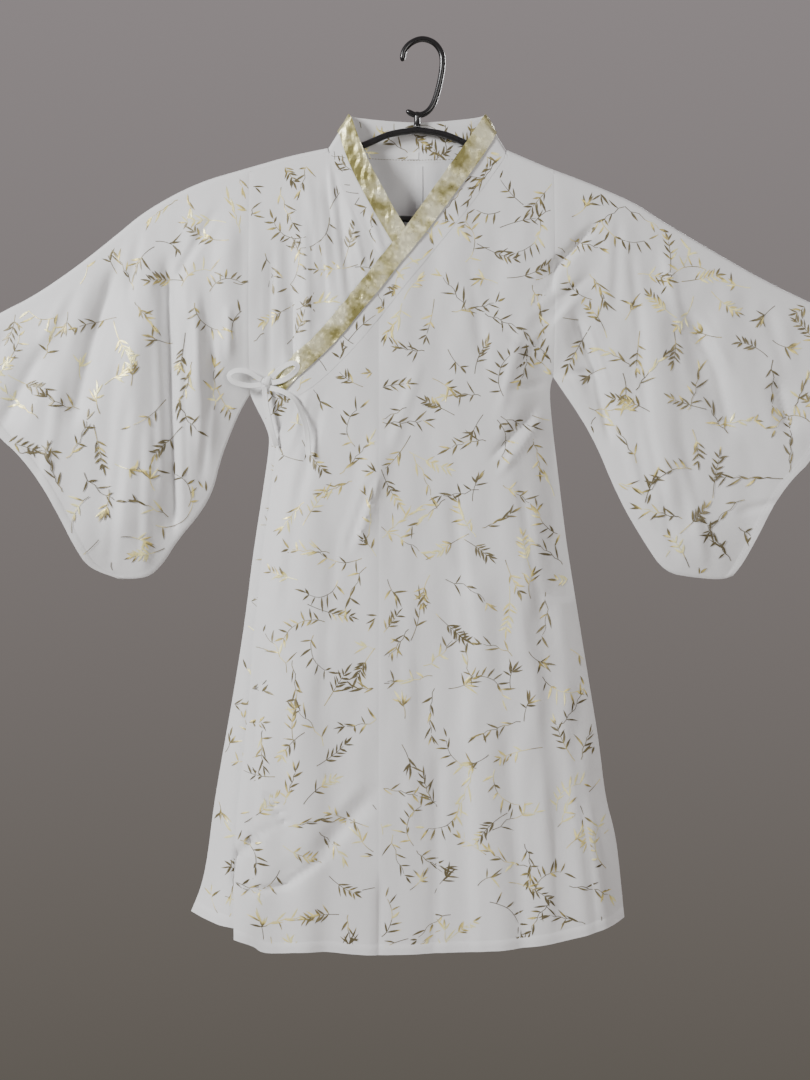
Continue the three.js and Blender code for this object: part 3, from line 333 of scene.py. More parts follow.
def rounded(rows):
    """A line of table rows with its corners cut, its ends kept."""
    for _ in range(2):
        near, far = lerp(rows[:-1], rows[1:], 0.25), lerp(rows[:-1], rows[1:], 0.75)
        middle = np.stack([near, far], axis=1).reshape(-1, rows.shape[1])
        rows = np.vstack([rows[:1], middle[1:-1], rows[-1:]])
    return rows


def height_at(rows, x):
    """Height of a left-to-right table, carried on past its ends."""
    x = np.asarray(x, dtype=float)
    z = np.interp(x, rows[:, 0], rows[:, 1])
    for end, inner in ((0, 1), (-1, -2)):
        slope = (rows[end, 1] - rows[inner, 1]) / (rows[end, 0] - rows[inner, 0])
        past = x < rows[0, 0] if end == 0 else x > rows[-1, 0]
        z = np.where(past, rows[end, 1] + slope * (x - rows[end, 0]), z)
    return z


def across_at(rows, z):
    """Place across of a top-to-foot table, carried on below its last row."""
    z = np.asarray(z, dtype=float)
    x = np.interp(-z, -rows[:, 1], rows[:, 0])
    slope = (rows[-1, 0] - rows[-2, 0]) / (rows[-1, 1] - rows[-2, 1])
    return np.where(z < rows[-1, 1], rows[-1, 0] + slope * (z - rows[-1, 1]), x)


def distance_to(rows, x, z):
    best = np.full(np.broadcast(x, z).shape, 1e9)
    for (ax, az), (bx, bz) in zip(rows[:-1], rows[1:]):
        dx, dz = bx - ax, bz - az
        f = np.clip(((x - ax) * dx + (z - az) * dz) / (dx * dx + dz * dz), 0, 1)
        best = np.minimum(best, np.hypot(x - ax - dx * f, z - az - dz * f))
    return best


def along(rows, share):
    """Points at shares of a line's length, its first two columns giving the length."""
    run = run_along(rows[:, :2])
    return rows_at(np.asarray(share) * run[-1], run, rows)


def curve_through(points, count):
    """A smooth curve through points, evenly stepped."""
    p = np.vstack([2 * points[0] - points[1], points, 2 * points[-1] - points[-2]])
    fine = []
    for a, b, c, d in zip(p, p[1:], p[2:], p[3:]):
        t = np.linspace(0, 1, 16, endpoint=False)[:, None]
        bend = (2 * a - 5 * b + 4 * c - d) * t**2 + (3 * b - a - 3 * c + d) * t**3
        fine.append(0.5 * (2 * b + (c - a) * t + bend))
    fine = np.vstack([*fine, points[-1:]])
    run = run_along(fine)
    return rows_at(np.linspace(0, run[-1], count), run, fine)


def inside_outline(outline, x, z):
    inside = np.zeros(np.shape(x), dtype=bool)
    for (ax, az), (bx, bz) in zip(outline, np.roll(outline, -1, axis=0)):
        if az != bz:
            inside ^= ((az > z) != (bz > z)) & (x < (bx - ax) * (z - az) / (bz - az) + ax)
    return inside


neck_left = int(np.where(CREST[:, 0] == -NECK_SIDE)[0][0])
neck_right = int(np.where(CREST[:, 0] == NECK_SIDE)[0][0])
CREST_LEFT = rounded(CREST[: neck_left + 1])
CREST_RIGHT = rounded(CREST[neck_right:])
SMOOTH_CREST = np.vstack([CREST_LEFT, CREST[neck_left + 1 : neck_right], CREST_RIGHT])
SEAM_LEFT, SEAM_RIGHT = rounded(SIDE_LEFT), rounded(SIDE_RIGHT)
ARM_LEFT, ARM_RIGHT = rounded(UNDERARM_LEFT), rounded(UNDERARM_RIGHT)
OPEN_LEFT, OPEN_RIGHT = rounded(CUFF_LEFT), rounded(CUFF_RIGHT)
EDGES = (SEAM_LEFT, SEAM_RIGHT, ARM_LEFT, ARM_RIGHT)


# The surface of the worn cloth
def folds_at(rows, x, z):
    rise = np.zeros(np.broadcast(x, z).shape)
    for x0, z0, x1, z1, half, height in rows:
        dx, dz = x1 - x0, z1 - z0
        length = math.hypot(dx, dz)
        reach = min(FOLD_REACH, length / 2)
        run = ((x - x0) * dx + (z - z0) * dz) / length
        off = ((x - x0) * dz - (z - z0) * dx) / length / half
        ends = ease(run / reach + 0.5) * ease((length - run) / reach + 0.5)
        rise += height * np.clip(1 - off * off, 0, None) ** 2 * ends
    return rise


def waves_at(side, x, z):
    rise = np.zeros(np.broadcast(x, z).shape)
    shift = 0.0 if side == "front" else 2.1
    for k, (wide, tall, slant, height) in enumerate(WAVES):
        bend = 1.3 * np.sin(2 * np.pi * z / (tall * 1.7) + k + shift)
        phase = 2 * np.pi * (x + slant * z) / wide + bend + 1.7 * k + shift
        rise += height * np.sin(phase) * (0.6 + 0.4 * np.sin(2 * np.pi * z / tall + 2.3 * k + shift))
    return rise


def full_depth(x, z):
    low = ease((DROPS["chest"] - z) / (DROPS["chest"] - DROPS["waist"]))
    foot = ease((DROPS["waist"] - z) / (DROPS["waist"] - DROPS["hem"]))
    body = lerp(lerp(DEPTHS["chest"], DEPTHS["waist"], low), DEPTHS["hem"], foot)
    out = np.maximum(ARMHOLE_LEFT - x, x - ARMHOLE_RIGHT)
    return lerp(body, SLEEVE_DEPTH, ease(out / SLEEVE_BLEND + 0.5) * (z > SLEEVE_FOOT))


def fade(crest, edge, start, full, edge_full):
    return ease((crest - start) / (full - start)) * ease(edge / edge_full)


def depth_at(side, x, z, round_=RIDGE):
    """Depth of one side of the worn cloth, from the middle plane of the garment outwards."""
    crest = distance_to(SMOOTH_CREST, x, z)
    edge = np.minimum.reduce([distance_to(rows, x, z) for rows in EDGES])
    full = round_ + (full_depth(x, z) - RIDGE) * swell(crest / GROW)
    depth = lerp(SEAM_DEPTH, full, swell(edge / EDGE_REACH))
    folds = folds_at(FOLDS[side], x, z) * fade(crest, edge, *FOLD_FADE)
    fine = CREASE_GAIN * folds_at(CREASES[side], x, z) + waves_at(side, x, z)
    return depth + folds + fine * fade(crest, edge, *CREASE_FADE)


def stand_of(layer, x, z):
    """How far a front layer stands in front of the shared depth."""
    share = 1 - ease((x + WRAP) / (2 * WRAP))
    down = ease((LAYER["from"] - z) / (LAYER["from"] - LAYER["to"]))
    gap = lerp(LAYER["top"], LAYER["hem"], down)
    return gap * share if layer == "over" else -gap * (1 - share)


def cloth_y(layer, x, z, round_=RIDGE):
    if layer == "back":
        return depth_at("back", x, z, round_)
    return -depth_at("front", x, z, round_) - stand_of(layer, x, z)


QUARTER_RUN = RIDGE * math.pi / 2


def drop_of(run):
    """Drop below the crest after a run over the rounded shoulder line and down."""
    run = np.abs(run)
    return RIDGE * (1 - np.cos(np.minimum(run / RIDGE, np.pi / 2))) + np.maximum(run - QUARTER_RUN, 0)


def run_of(drop):
    return RIDGE * math.acos(1 - drop / RIDGE) if drop < RIDGE else drop - RIDGE + QUARTER_RUN


def round_of(run):
    """Depth of the rounded shoulder line at a run from its crest."""
    return RIDGE * np.sin(np.minimum(np.abs(run) / RIDGE, np.pi / 2))


def shoulder_at(x):
    return float(height_at(SMOOTH_CREST, math.copysign(max(abs(x), NECK_SIDE + 0.1), x)))


# Meshes
def new_object(name, verts, faces):
    mesh = bpy.data.meshes.new(name)
    points = np.asarray(verts, dtype=float) * MM
    points[:, 0] += CENTRE_X * MM
    mesh.from_pydata(points.tolist(), [], [tuple(int(i) for i in f) for f in faces])
    mesh.validate()
    mesh.polygons.foreach_set("use_smooth", [True] * len(mesh.polygons))
    mesh.set_sharp_from_angle(angle=SHARP_EDGE)
    mesh.update()
    piece = bpy.data.objects.new(name, mesh)
    bpy.context.collection.objects.link(piece)
    return piece


def closed_object(name, verts, faces):
    """A closed mesh with its faces turned out."""
    quads = np.array([(*face, face[-1])[:4] for face in faces])
    a, b, c, d = (verts[quads[:, k]] for k in range(4))
    volume = (a * np.cross(b, c)).sum() + (a * np.cross(c, d)).sum()
    return new_object(name, verts, faces if volume > 0 else [face[::-1] for face in faces])


def ring_faces(rows, count, closed=False):
    """Quads between closed rings, and from the last ring to the first when asked."""
    i, j = np.meshgrid(np.arange(rows if closed else rows - 1), np.arange(count), indexing="ij")
    n, k = (i + 1) % rows, (j + 1) % count
    return np.stack([i * count + j, i * count + k, n * count + k, n * count + j], -1).reshape(-1, 4)


def hoop(name, grid):
    """A rod or band of rings that closes on itself."""
    return closed_object(name, grid.reshape(-1, 3), ring_faces(*grid.shape[:2], closed=True))


def capped(name, grid):
    """A rod of rings with a cap at both ends."""
    rows, count = grid.shape[:2]
    verts = np.vstack([grid.reshape(-1, 3), grid[0].mean(axis=0), grid[-1].mean(axis=0)])
    faces = ring_faces(rows, count).tolist()
    first, base = rows * count, (rows - 1) * count
    for j in range(count):
        k = (j + 1) % count
        faces += [(first, k, j), (first + 1, base + j, base + k)]
    return closed_object(name, verts, faces)


def grid_normals(grid, closed=False):
    down = np.gradient(grid, axis=0)
    side = np.roll(grid, -1, axis=1) - np.roll(grid, 1, axis=1) if closed else np.gradient(grid, axis=1)
    return unit(np.cross(side, down))


def shell(name, grid, wall, closed=False):
    """A closed thin wall about a grid of middle points, whose rows close on themselves when asked."""
    rows, count = grid.shape[:2]
    rise = grid_normals(grid, closed) * (wall / 2)
    verts = np.vstack([(grid + rise).reshape(-1, 3), (grid - rise).reshape(-1, 3)])
    i, j = np.meshgrid(np.arange(rows - 1) * count, np.arange(count if closed else count - 1), indexing="ij")
    k = (j + 1) % count
    outer = np.stack([i + j, i + count + j, i + count + k, i + k], axis=-1).reshape(-1, 4)
    base, last = rows * count, (rows - 1) * count
    rims = [(j[0], k[0]), (k[0] + last, j[0] + last)]
    if not closed:
        left, right = i[:, 0], i[:, 0] + count - 1
        rims += [(left + count, left), (right, right + count)]
    faces = [outer, outer[:, ::-1] + base]
    faces += [np.stack([a, b, b + base, a + base], axis=-1) for a, b in rims]
    return closed_object(name, verts, np.vstack(faces))


def grid_area(grid):
    """Area of a grid of points, in square metres."""
    down, side = np.diff(grid, axis=0)[:, :-1], np.diff(grid, axis=1)[:-1]
    return float(np.linalg.norm(np.cross(down, side), axis=2).sum()) * MM * MM


# Materials
class Value:
    """A socket that takes part in sums."""

    def __init__(self, nodes, socket):
        self.nodes, self.socket = nodes, socket

    def _sum(self, operation, first, second):
        return self.nodes.make("ShaderNodeMath", {"operation": operation}, {0: first, 1: second})

    def __add__(self, other):
        return self._sum("ADD", self, other)

    def __sub__(self, other):
        return self._sum("SUBTRACT", self, other)

    def __rsub__(self, other):
        return self._sum("SUBTRACT", other, self)

    def __mul__(self, other):
        return self._sum("MULTIPLY", self, other)

    __radd__ = __add__
    __rmul__ = __mul__


class Nodes:
    """The nodes of one material, or of the room's light."""

    def __init__(self, tree):
        self.tree = tree

    def make(self, kind, settings=None, inputs=None, out=0):
        node = self.tree.nodes.new(kind)
        for key, value in (settings or {}).items():
            if key == "stops":
                for stop, (place, colour) in zip(self._stops(node, len(value)), value):
                    stop.position, stop.color = place, (*colour, 1)
            else:
                setattr(node, key, value)
        for key, value in (inputs or {}).items():
            self.put(node.inputs[key], value)
        return Value(self, node.outputs[out])

    def _stops(self, node, count):
        stops = node.color_ramp.elements
        while len(stops) < count:
            stops.new(0.5)
        return stops

    def put(self, socket, value):
        if isinstance(value, Value):
            self.tree.links.new(value.socket, socket)
        elif isinstance(value, tuple) and len(value) == 3 and socket.type == "RGBA":
            socket.default_value = (*value, 1)
        else:
            socket.default_value = value

    def place(self):
        return self.make("ShaderNodeTexCoord", out="Object")

    def noise(self, place, scale, detail=2.0, rough=0.5):
        inputs = {"Vector": place, "Scale": scale, "Detail": detail, "Roughness": rough}
        return self.make("ShaderNodeTexNoise", {}, inputs, out="Fac")

    def threads(self, place, pitch, direction):
        """Bands a thread's pitch apart, in metres."""
        settings = {"wave_type": "BANDS", "bands_direction": direction}
        inputs = {"Vector": place, "Scale": math.pi / (10 * pitch), "Distortion": 0.6, "Detail": 1.0}
        return self.make("ShaderNodeTexWave", settings, inputs, out="Fac")

    def mix(self, share, first, second):
        return self.make("ShaderNodeMix", {"data_type": "RGBA"}, {0: share, 6: first, 7: second}, out=2)

    def ramp(self, share, *stops):
        return self.make("ShaderNodeValToRGB", {"stops": stops}, {"Fac": share})

    def bump(self, height, distance, strength=1.0, normal=None):
        inputs = {"Height": height, "Distance": distance, "Strength": strength}
        if normal is not None:
            inputs["Normal"] = normal
        return self.make("ShaderNodeBump", {}, inputs)


class Finish(Nodes):
    """A material under construction."""

    def __init__(self, name, **constants):
        self.material = bpy.data.materials.new(name)
        self.material.use_nodes = True
        super().__init__(self.material.node_tree)
        self.tree.nodes.clear()
        self.surface = self.tree.nodes.new("ShaderNodeBsdfPrincipled")
        out = self.tree.nodes.new("ShaderNodeOutputMaterial")
        self.tree.links.new(self.surface.outputs[0], out.inputs["Surface"])
        self.set(**constants)

    def set(self, **values):
        for key, value in values.items():
            self.put(self.surface.inputs[key.replace("_", " ")], value)
        return self


def printed_cloth(tint=(0.795, 0.797, 0.80)):
    f = Finish("white_printed_cloth", Sheen_Weight=0.28, Sheen_Roughness=0.45, Specular_IOR_Level=0.35)
    p = f.place()
    weave = f.threads(p, 0.00055, "X") * 0.5 + f.threads(p, 0.00050, "Z") * 0.5
    slub = f.noise(p, 700, 3, 0.6)
    cloud = f.noise(p, 7, 4, 0.55)
    tone = f.mix(cloud, tuple(c * 0.955 for c in tint), tuple(min(c * 1.03, 0.9) for c in tint))
    tone = f.mix(slub * 0.12, tone, (0.70, 0.70, 0.70))
    crush = f.noise(p, 85, 3, 0.55)
    normal = f.bump(weave * 0.6 + slub * 0.4, 0.00010, 0.35)
    normal = f.bump(crush, 0.0011, 0.22, normal)
    return f.set(Base_Color=tone, Roughness=0.50 + cloud * 0.12, Normal=normal).material


def satin():
    f = Finish("champagne_satin", Sheen_Weight=0.3, Sheen_Roughness=0.3, Specular_IOR_Level=0.7)
    p = f.place()
    fine = f.threads(p, 0.00035, "DIAGONAL")
    # noise for the bump, and also the mask of the painted highlight and painted shade in the satin's colour
    painted_sheen_and_bump = f.noise(p, 30, 4, 0.62)
    crush = f.noise(p, 150, 2, 0.5)
    # the satin is gold: its dark olive patches are painted shade and its pale champagne patches are painted
    # highlight, in place of light on its wrinkles
    painted_shade_olive, gold, champagne = (0.31, 0.28, 0.095), (0.62, 0.58, 0.30), (0.92, 0.89, 0.62)
    tone = f.ramp(painted_sheen_and_bump, (0.40, painted_shade_olive), (0.49, gold), (0.60, champagne))
    settings = {"wave_type": "BANDS", "bands_direction": "X", "wave_profile": "TRI"}
    inputs = {"Vector": p, "Scale": 34.0, "Distortion": 6.0, "Detail": 0.0}
    wrinkle = f.make("ShaderNodeTexWave", settings, inputs, out="Fac")
    normal = f.bump(painted_sheen_and_bump, 0.0045, 0.5)
    normal = f.bump(wrinkle, 0.0010, 0.45, normal)
    normal = f.bump(crush * 0.8 + fine * 0.2, 0.0007, 0.4, normal)
    return f.set(Base_Color=tone, Roughness=0.22 + crush * 0.16, Metallic=0.5, Normal=normal).material


def foil():
    """Foil print: patches of it catch the light, painted into its colour as reflection, and each leaf adds a
    painted glint of its own.
    """
    f = Finish("gold_foil", Specular_IOR_Level=0.6)
    p = f.place()
    leaf = f.make("ShaderNodeAttribute", {"attribute_name": "tone"}, out="Fac")
    # patches of painted reflection on the foil, brighter and darker
    patch = f.noise(p, 27, 2, 0.5)
    # fine speckle: rougher worn foil, and a little painted glint in the colour
    wear_and_glint = f.noise(p, 900, 2, 0.6)
    share = patch * 5.2 + leaf * 0.55 + wear_and_glint * 0.25 - 2.66
    # foil colour from dark brown, which is painted shade, to pale gold, which is painted highlight
    colour = f.ramp(
        share, (0.0, (0.15, 0.125, 0.062)), (0.36, (0.26, 0.215, 0.09)), (0.54, (0.56, 0.46, 0.16)),
        (0.70, (0.92, 0.78, 0.27)), (1.0, (1.0, 0.94, 0.46)),
    )
    normal = f.bump(f.noise(p, 330, 2, 0.5), 0.0006, 0.5)
    return f.set(Base_Color=colour, Metallic=0.30, Roughness=0.30 + wear_and_glint * 0.22, Normal=normal).material


def woven_tape(name, colour, pitch=0.0009):
    f = Finish(name, Sheen_Weight=0.25, Sheen_Roughness=0.5)
    p = f.place()
    ribs = f.threads(p, pitch, "DIAGONAL")
    soft = f.noise(p, 60, 3, 0.5)
    tone = f.mix(soft, tuple(c * 0.93 for c in colour), colour)
    normal = f.bump(ribs * 0.6 + f.noise(p, 800, 2) * 0.4, 0.00016, 0.5)
    return f.set(Base_Color=tone, Roughness=0.55 + soft * 0.12, Normal=normal).material


def black_plastic():
    f = Finish("black_moulded_plastic", Coat_Roughness=0.12, Specular_IOR_Level=0.55)
    p = f.place()
    scuff = f.noise(p, 120, 4, 0.65)
    tone = f.mix(scuff, (0.003, 0.003, 0.0035), (0.010, 0.010, 0.011))
    normal = f.bump(f.noise(p, 260, 3), 0.00012, 0.35)
    return f.set(Base_Color=tone, Roughness=0.20 + scuff * 0.18, Coat_Weight=0.35, Normal=normal).material


PRINTED = printed_cloth()
FOIL = foil()
SATIN = satin()
TAPE = woven_tape("white_tie_cloth", (0.84, 0.845, 0.84))
LABEL_CLOTH = woven_tape("white_label_cloth", (0.97, 0.97, 0.96), 0.0006)
THREAD = woven_tape("sewing_thread", (0.74, 0.735, 0.72), 0.0004)
# thread of the band's seam at the back: the stitches are real, and their dark brown is painted shadow of the
# band's lower edge
NECK_SHADOW_THREAD = woven_tape("seam_thread_painted_shadow", (0.26, 0.22, 0.15), 0.0004)
PLASTIC = black_plastic()


def finish_piece(piece, material, replaces=()):
    piece.data.materials.append(material)
    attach(piece, "root")
    if replaces:
        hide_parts(*replaces)
    return piece


def cloth_piece(node, grid, closed=False):
    """One piece of the printed cloth, on a grid of its middle points."""
    return finish_piece(shell(node + "_cloth", grid, CLOTH, closed), PRINTED, [node])


# Where a piece lies across and down, for its print and its stitches
def spaced(a, b, pitch=PITCH, ends=(0.0, 1.2, 2.6)):
    """Places from a to b, closer together at both ends."""
    inner = np.arange(a + ends[-1] + pitch, b - ends[-1] - pitch / 2, pitch)
    return np.concatenate([a + np.array(ends), inner, b - np.array(ends[::-1])])


class Panel:
    """A body panel between two side edges, from the shoulder or the neckband's seam to the hem."""

    def __init__(self, layer, left, right, shoulder, seams):
        self.layer, self.left, self.right, self.shoulder, self.seams = layer, left, right, shoulder, seams
        self.outs = (1.0,) if layer == "back" else (-1.0,)

    def seam(self, x):
        return height_at(SEAMS[self.layer], x)

    def hem(self, x):
        return height_at(HEMS[self.layer], x)

    def reaches(self, x):
        """Whether the panel runs up to the shoulder at x, past the side of the neck."""
        return (x > self.shoulder[0]) & (x < self.shoulder[1])

    def starts(self):
        """Where the grid's columns start, closer together at the side of the neck."""
        first, last = float(self.left(-150.0)), float(self.right(-150.0))
        marks = [first]
        for side in (-1, 1):
            if self.reaches(side * NECK_SIDE) and first < side * NECK_SIDE < last:
                marks += [side * (NECK_SIDE + v) for v in NECK_MARKS]
        marks = sorted(marks) + [last]
        places = []
        for a, b in zip(marks, marks[1:]):
            places += list(spaced(a, b)) if b - a > 14 else [a, b]
        return np.unique(np.round(places, 3))

    def grid(self):
        starts = self.starts()
        shares = (starts - starts[0]) / (starts[-1] - starts[0])
        return np.stack([self.column(start, share) for start, share in zip(starts, shares)], axis=1)

    def column(self, start, share):
        def across(z):
            return lerp(self.left(z), self.right(z), share)

        crest = shoulder_at(start)
        reaches = self.reaches(start)
        on_shoulder = reaches and abs(start) > NECK_SIDE
        near = reaches and abs(start) > NECK_SIDE - 2
        foot = float(self.hem(start))
        for _ in range(6):
            foot = float(self.hem(across(foot)))
        slope = float(self.seam(start + 1) - self.seam(start - 1)) / 2
        top = run_of(max(crest - float(self.seam(start)) + SEAM_GAP * math.hypot(1, slope), 0))
        if on_shoulder:
            top = HALF_GAP - SHOULDER_SEAM_RUN if self.layer == "back" else SHOULDER_SEAM_RUN + HALF_GAP
        elif near:
            top = QUARTER_RUN / 2 if abs(start) > NECK_SIDE - 1 else QUARTER_RUN
        runs = np.linspace(top, max(QUARTER_RUN, top + ROUND_FOOT), ROUND_ROWS)
        z_round = crest - drop_of(runs)
        # even rows down to the turned hem, closer ones on it
        even = np.linspace(0, 1, int(round(90 / PITCH)) * 10 + 1)[1:]
        z_even = z_round[-1] - (z_round[-1] - foot - HEM_TURN - 2) * even
        z_hem = foot + np.array([HEM_TURN + 0.4, HEM_TURN - 0.4, HEM_TURN / 2, 1.0, 0.0])
        z = np.concatenate([z_round, z_even, z_hem])
        x = across(z)
        round_ = np.full(z.shape, RIDGE)
        if near:
            round_[:ROUND_ROWS] = round_of(runs)
        y = cloth_y(self.layer, x, z, round_)
        if on_shoulder and self.layer == "back":
            y[:ROUND_ROWS] = np.where(runs < 0, -np.abs(y[:ROUND_ROWS]), y[:ROUND_ROWS])
        y += self.relief(x, z - foot)
        return np.stack([x, y, z], axis=-1)

    def relief(self, x, above_hem):
        """The turned hem stands out a little, and the cloth dips at its seams."""
        dips = sum(np.exp(-((np.abs(x - seam) / SEAM_SPREAD) ** 2)) for seam in self.seams)
        return self.outs[0] * (HEM_RISE * (above_hem < HEM_TURN) - SEAM_DIP * dips)

    def holds(self, x, z, margin=2.0):
        """Whether a place lies on the panel, clear of its edges."""
        inside = (x > self.left(z) + margin) & (x < self.right(z) - margin) & (z > self.hem(x) + margin)
        crest = height_at(SMOOTH_CREST, x) - RIDGE - (0 if self.layer == "back" else 5)
        shoulder = (np.abs(x) > NECK_SIDE) & self.reaches(x)
        return inside & (z < np.where(shoulder, crest, self.seam(x) - margin))

    def y(self, x, z, way):
        """Place of the cloth's middle in depth, as for every piece that holds a print."""
        return cloth_y(self.layer, x, z)


def upright(x):
    return lambda z: np.zeros(np.shape(z)) + x


def free_edge(rows):
    return lambda z: across_at(rows, z)


def armhole_edge(rows, x):
    """A side edge: the armhole above the table's top, the table below it."""
    return lambda z: np.where(np.asarray(z) > rows[0, 1], x, across_at(rows, z))


def seam_rows(rows):
    """The neckband's seam in front of the shoulders or behind them, from left to right."""
    flat = rows[np.abs(rows[:, 0]) == 90][:, 1:3]
    return flat[np.argsort(flat[:, 0])]


SEAMS = {"over": seam_rows(BAND_OVER), "under": seam_rows(BAND_UNDER), "back": seam_rows(BAND_BACK)}
HEMS = {"over": rounded(HEM_OVER), "under": rounded(HEM_UNDER), "back": rounded(HEM_BACK)}
side_left = armhole_edge(SEAM_LEFT, ARMHOLE_LEFT + HALF_GAP)
side_right = armhole_edge(SEAM_RIGHT, ARMHOLE_RIGHT - HALF_GAP)

# Where a panel reaches the shoulder, from x to x
ALL_ALONG, RIGHT_HALF, LEFT_HALF, NOWHERE = (-np.inf, np.inf), (0, np.inf), (-np.inf, 0), (0, 0)
# Layer, left and right edge, reach, seams
PANELS = {
    "back_left": Panel("back", side_left, upright(-HALF_GAP), ALL_ALONG, (0.0, ARMHOLE_LEFT)),
    "back_right": Panel("back", upright(HALF_GAP), side_right, ALL_ALONG, (0.0, ARMHOLE_RIGHT)),
    "front_over": Panel(
        "over", upright(OVERLAP_SEAM + HALF_GAP), side_right, RIGHT_HALF, (OVERLAP_SEAM, ARMHOLE_RIGHT)
    ),
    "overlap_over": Panel(
        "over", free_edge(FREE_OVER), upright(OVERLAP_SEAM - HALF_GAP), NOWHERE, (OVERLAP_SEAM,)
    ),
    "front_under": Panel(
        "under", side_left, upright(-OVERLAP_SEAM - HALF_GAP), LEFT_HALF, (-OVERLAP_SEAM, ARMHOLE_LEFT)
    ),
    "overlap_under": Panel(
        "under", upright(-OVERLAP_SEAM + HALF_GAP), free_edge(FREE_UNDER), NOWHERE, (-OVERLAP_SEAM,)
    ),
}


class Sleeve:
    """A wide sleeve: rings on a patch between the armhole, the crest, the underarm edge and the cuff."""

    outs = (-1.0, 1.0)

    def __init__(self, armhole, crest, underarm, cuff):
        crest = np.vstack([[armhole, float(height_at(SMOOTH_CREST, armhole))], crest])
        self.armhole, self.crest, self.underarm, self.cuff = armhole, crest, underarm, cuff
        self.out = math.copysign(1, armhole)
        self.start = armhole + self.out * HALF_GAP
        self.outline = np.vstack([crest, cuff[1:], underarm[::-1][1:]])

    def patch(self, t, w):
        top, foot, end = along(self.crest, t), along(self.underarm, t), along(self.cuff, w)
        arm_top = np.array([self.start, self.crest[0, 1]])
        arm_foot = np.array([self.start, self.underarm[0, 1]])
        t, w = np.asarray(t)[..., None], np.asarray(w)[..., None]
        arm = lerp(arm_top, arm_foot, w)
        corners = (1 - t) * (1 - w) * arm_top + t * (1 - w) * self.cuff[0]
        corners = corners + (1 - t) * w * arm_foot + t * w * self.cuff[-1]
        return (1 - w) * top + w * foot + (1 - t) * arm + t * end - corners

    def grid(self):
        middle = np.linspace(0.02, 0.965, 92)
        shares = np.concatenate([[0, 0.004, 0.009], middle, [0.972, 0.9745, 0.99, 1.0]])
        return np.stack([self.ring(share) for share in shares])

    def ring(self, share):
        """One ring, down the front from the crest and up the back."""
        turn = np.linspace(0, np.pi / 2, SLEEVE_TURNS)
        ridge = lerp(RIDGE, CUFF_RIDGE, share)
        ends = self.patch(np.full(2, share), np.array([0.0, 1.0]))
        width = float(np.linalg.norm(ends[1] - ends[0]))
        drop = np.concatenate([ridge * (1 - np.cos(turn)), np.linspace(ridge, width, SLEEVE_ROWS + 1)[1:]])
        round_ = np.concatenate([ridge * np.sin(turn), np.full(SLEEVE_ROWS, ridge)])
        x, z = self.patch(np.full(drop.shape, share), drop / width).T
        dip = -ARMHOLE_DIP * math.exp(-((share / ARMHOLE_SPREAD) ** 2))
        relief = (CUFF_RISE * (share > CUFF_SHARE) + dip) * ease(drop / 12)
        front = -(depth_at("front", x, z, round_) + relief)
        back = depth_at("back", x, z, round_) + relief
        below = np.array([[x[-1], 0.0, z[-1] - SEAM_DEPTH]])
        return np.vstack([np.stack([x, front, z], -1), below, np.stack([x, back, z], -1)[:0:-1]])

    def holds(self, x, z, margin=2.5):
        far = distance_to(self.outline, x, z) > margin
        return inside_outline(self.outline, x, z) & far & (distance_to(self.crest, x, z) > RIDGE + 1)

    def y(self, x, z, way):
        share = self.out * (x - self.armhole) / abs(self.crest[-1, 0] - self.armhole)
        ridge = lerp(RIDGE, CUFF_RIDGE, np.clip(share, 0, 1))
        return way * depth_at("front" if way < 0 else "back", x, z, ridge)


beyond_left = CREST_LEFT[CREST_LEFT[:, 0] < ARMHOLE_LEFT][::-1]
beyond_right = CREST_RIGHT[CREST_RIGHT[:, 0] > ARMHOLE_RIGHT]
SLEEVES = {
    "sleeve_left": Sleeve(ARMHOLE_LEFT, beyond_left, ARM_LEFT, OPEN_LEFT),
    "sleeve_right": Sleeve(ARMHOLE_RIGHT, beyond_right, ARM_RIGHT, OPEN_RIGHT),
}


# Sprigs of the foil print in their own plane: a stem, and leaves by root, direction, length and half width
SPRIG_KINDS = {
    "feather": {"share": 0.32, "length": (34, 52), "bend": (0.0, 0.7), "zigzag": 0.0},
    "twig": {"share": 0.32, "length": (38, 60), "bend": (0.0, 0.8), "zigzag": 0.32},
    "fan": {"share": 0.18, "length": (20, 30), "bend": (0.2, 0.9), "zigzag": 0.0},
    "arch": {"share": 0.18, "length": (46, 68), "bend": (1.3, 2.2), "zigzag": 0.06},
}


STEM_STEPS = 17


def sprig_stem(rng, kind, nodes):
    length, bend = rng.uniform(*kind["length"]), rng.uniform(*kind["bend"]) * rng.choice((-1, 1))
    share = np.linspace(0, 1, STEM_STEPS + 1)
    swing = kind["zigzag"] * np.sign(np.sin(np.pi * (share * (nodes + 1) + 0.01)))
    heading = bend * (share - 0.4) + swing
    step = np.stack([np.sin(heading), np.cos(heading)], -1) * length / STEM_STEPS
    stem = np.cumsum(step, axis=0) - step[0]
    return stem - stem.mean(axis=0), bend


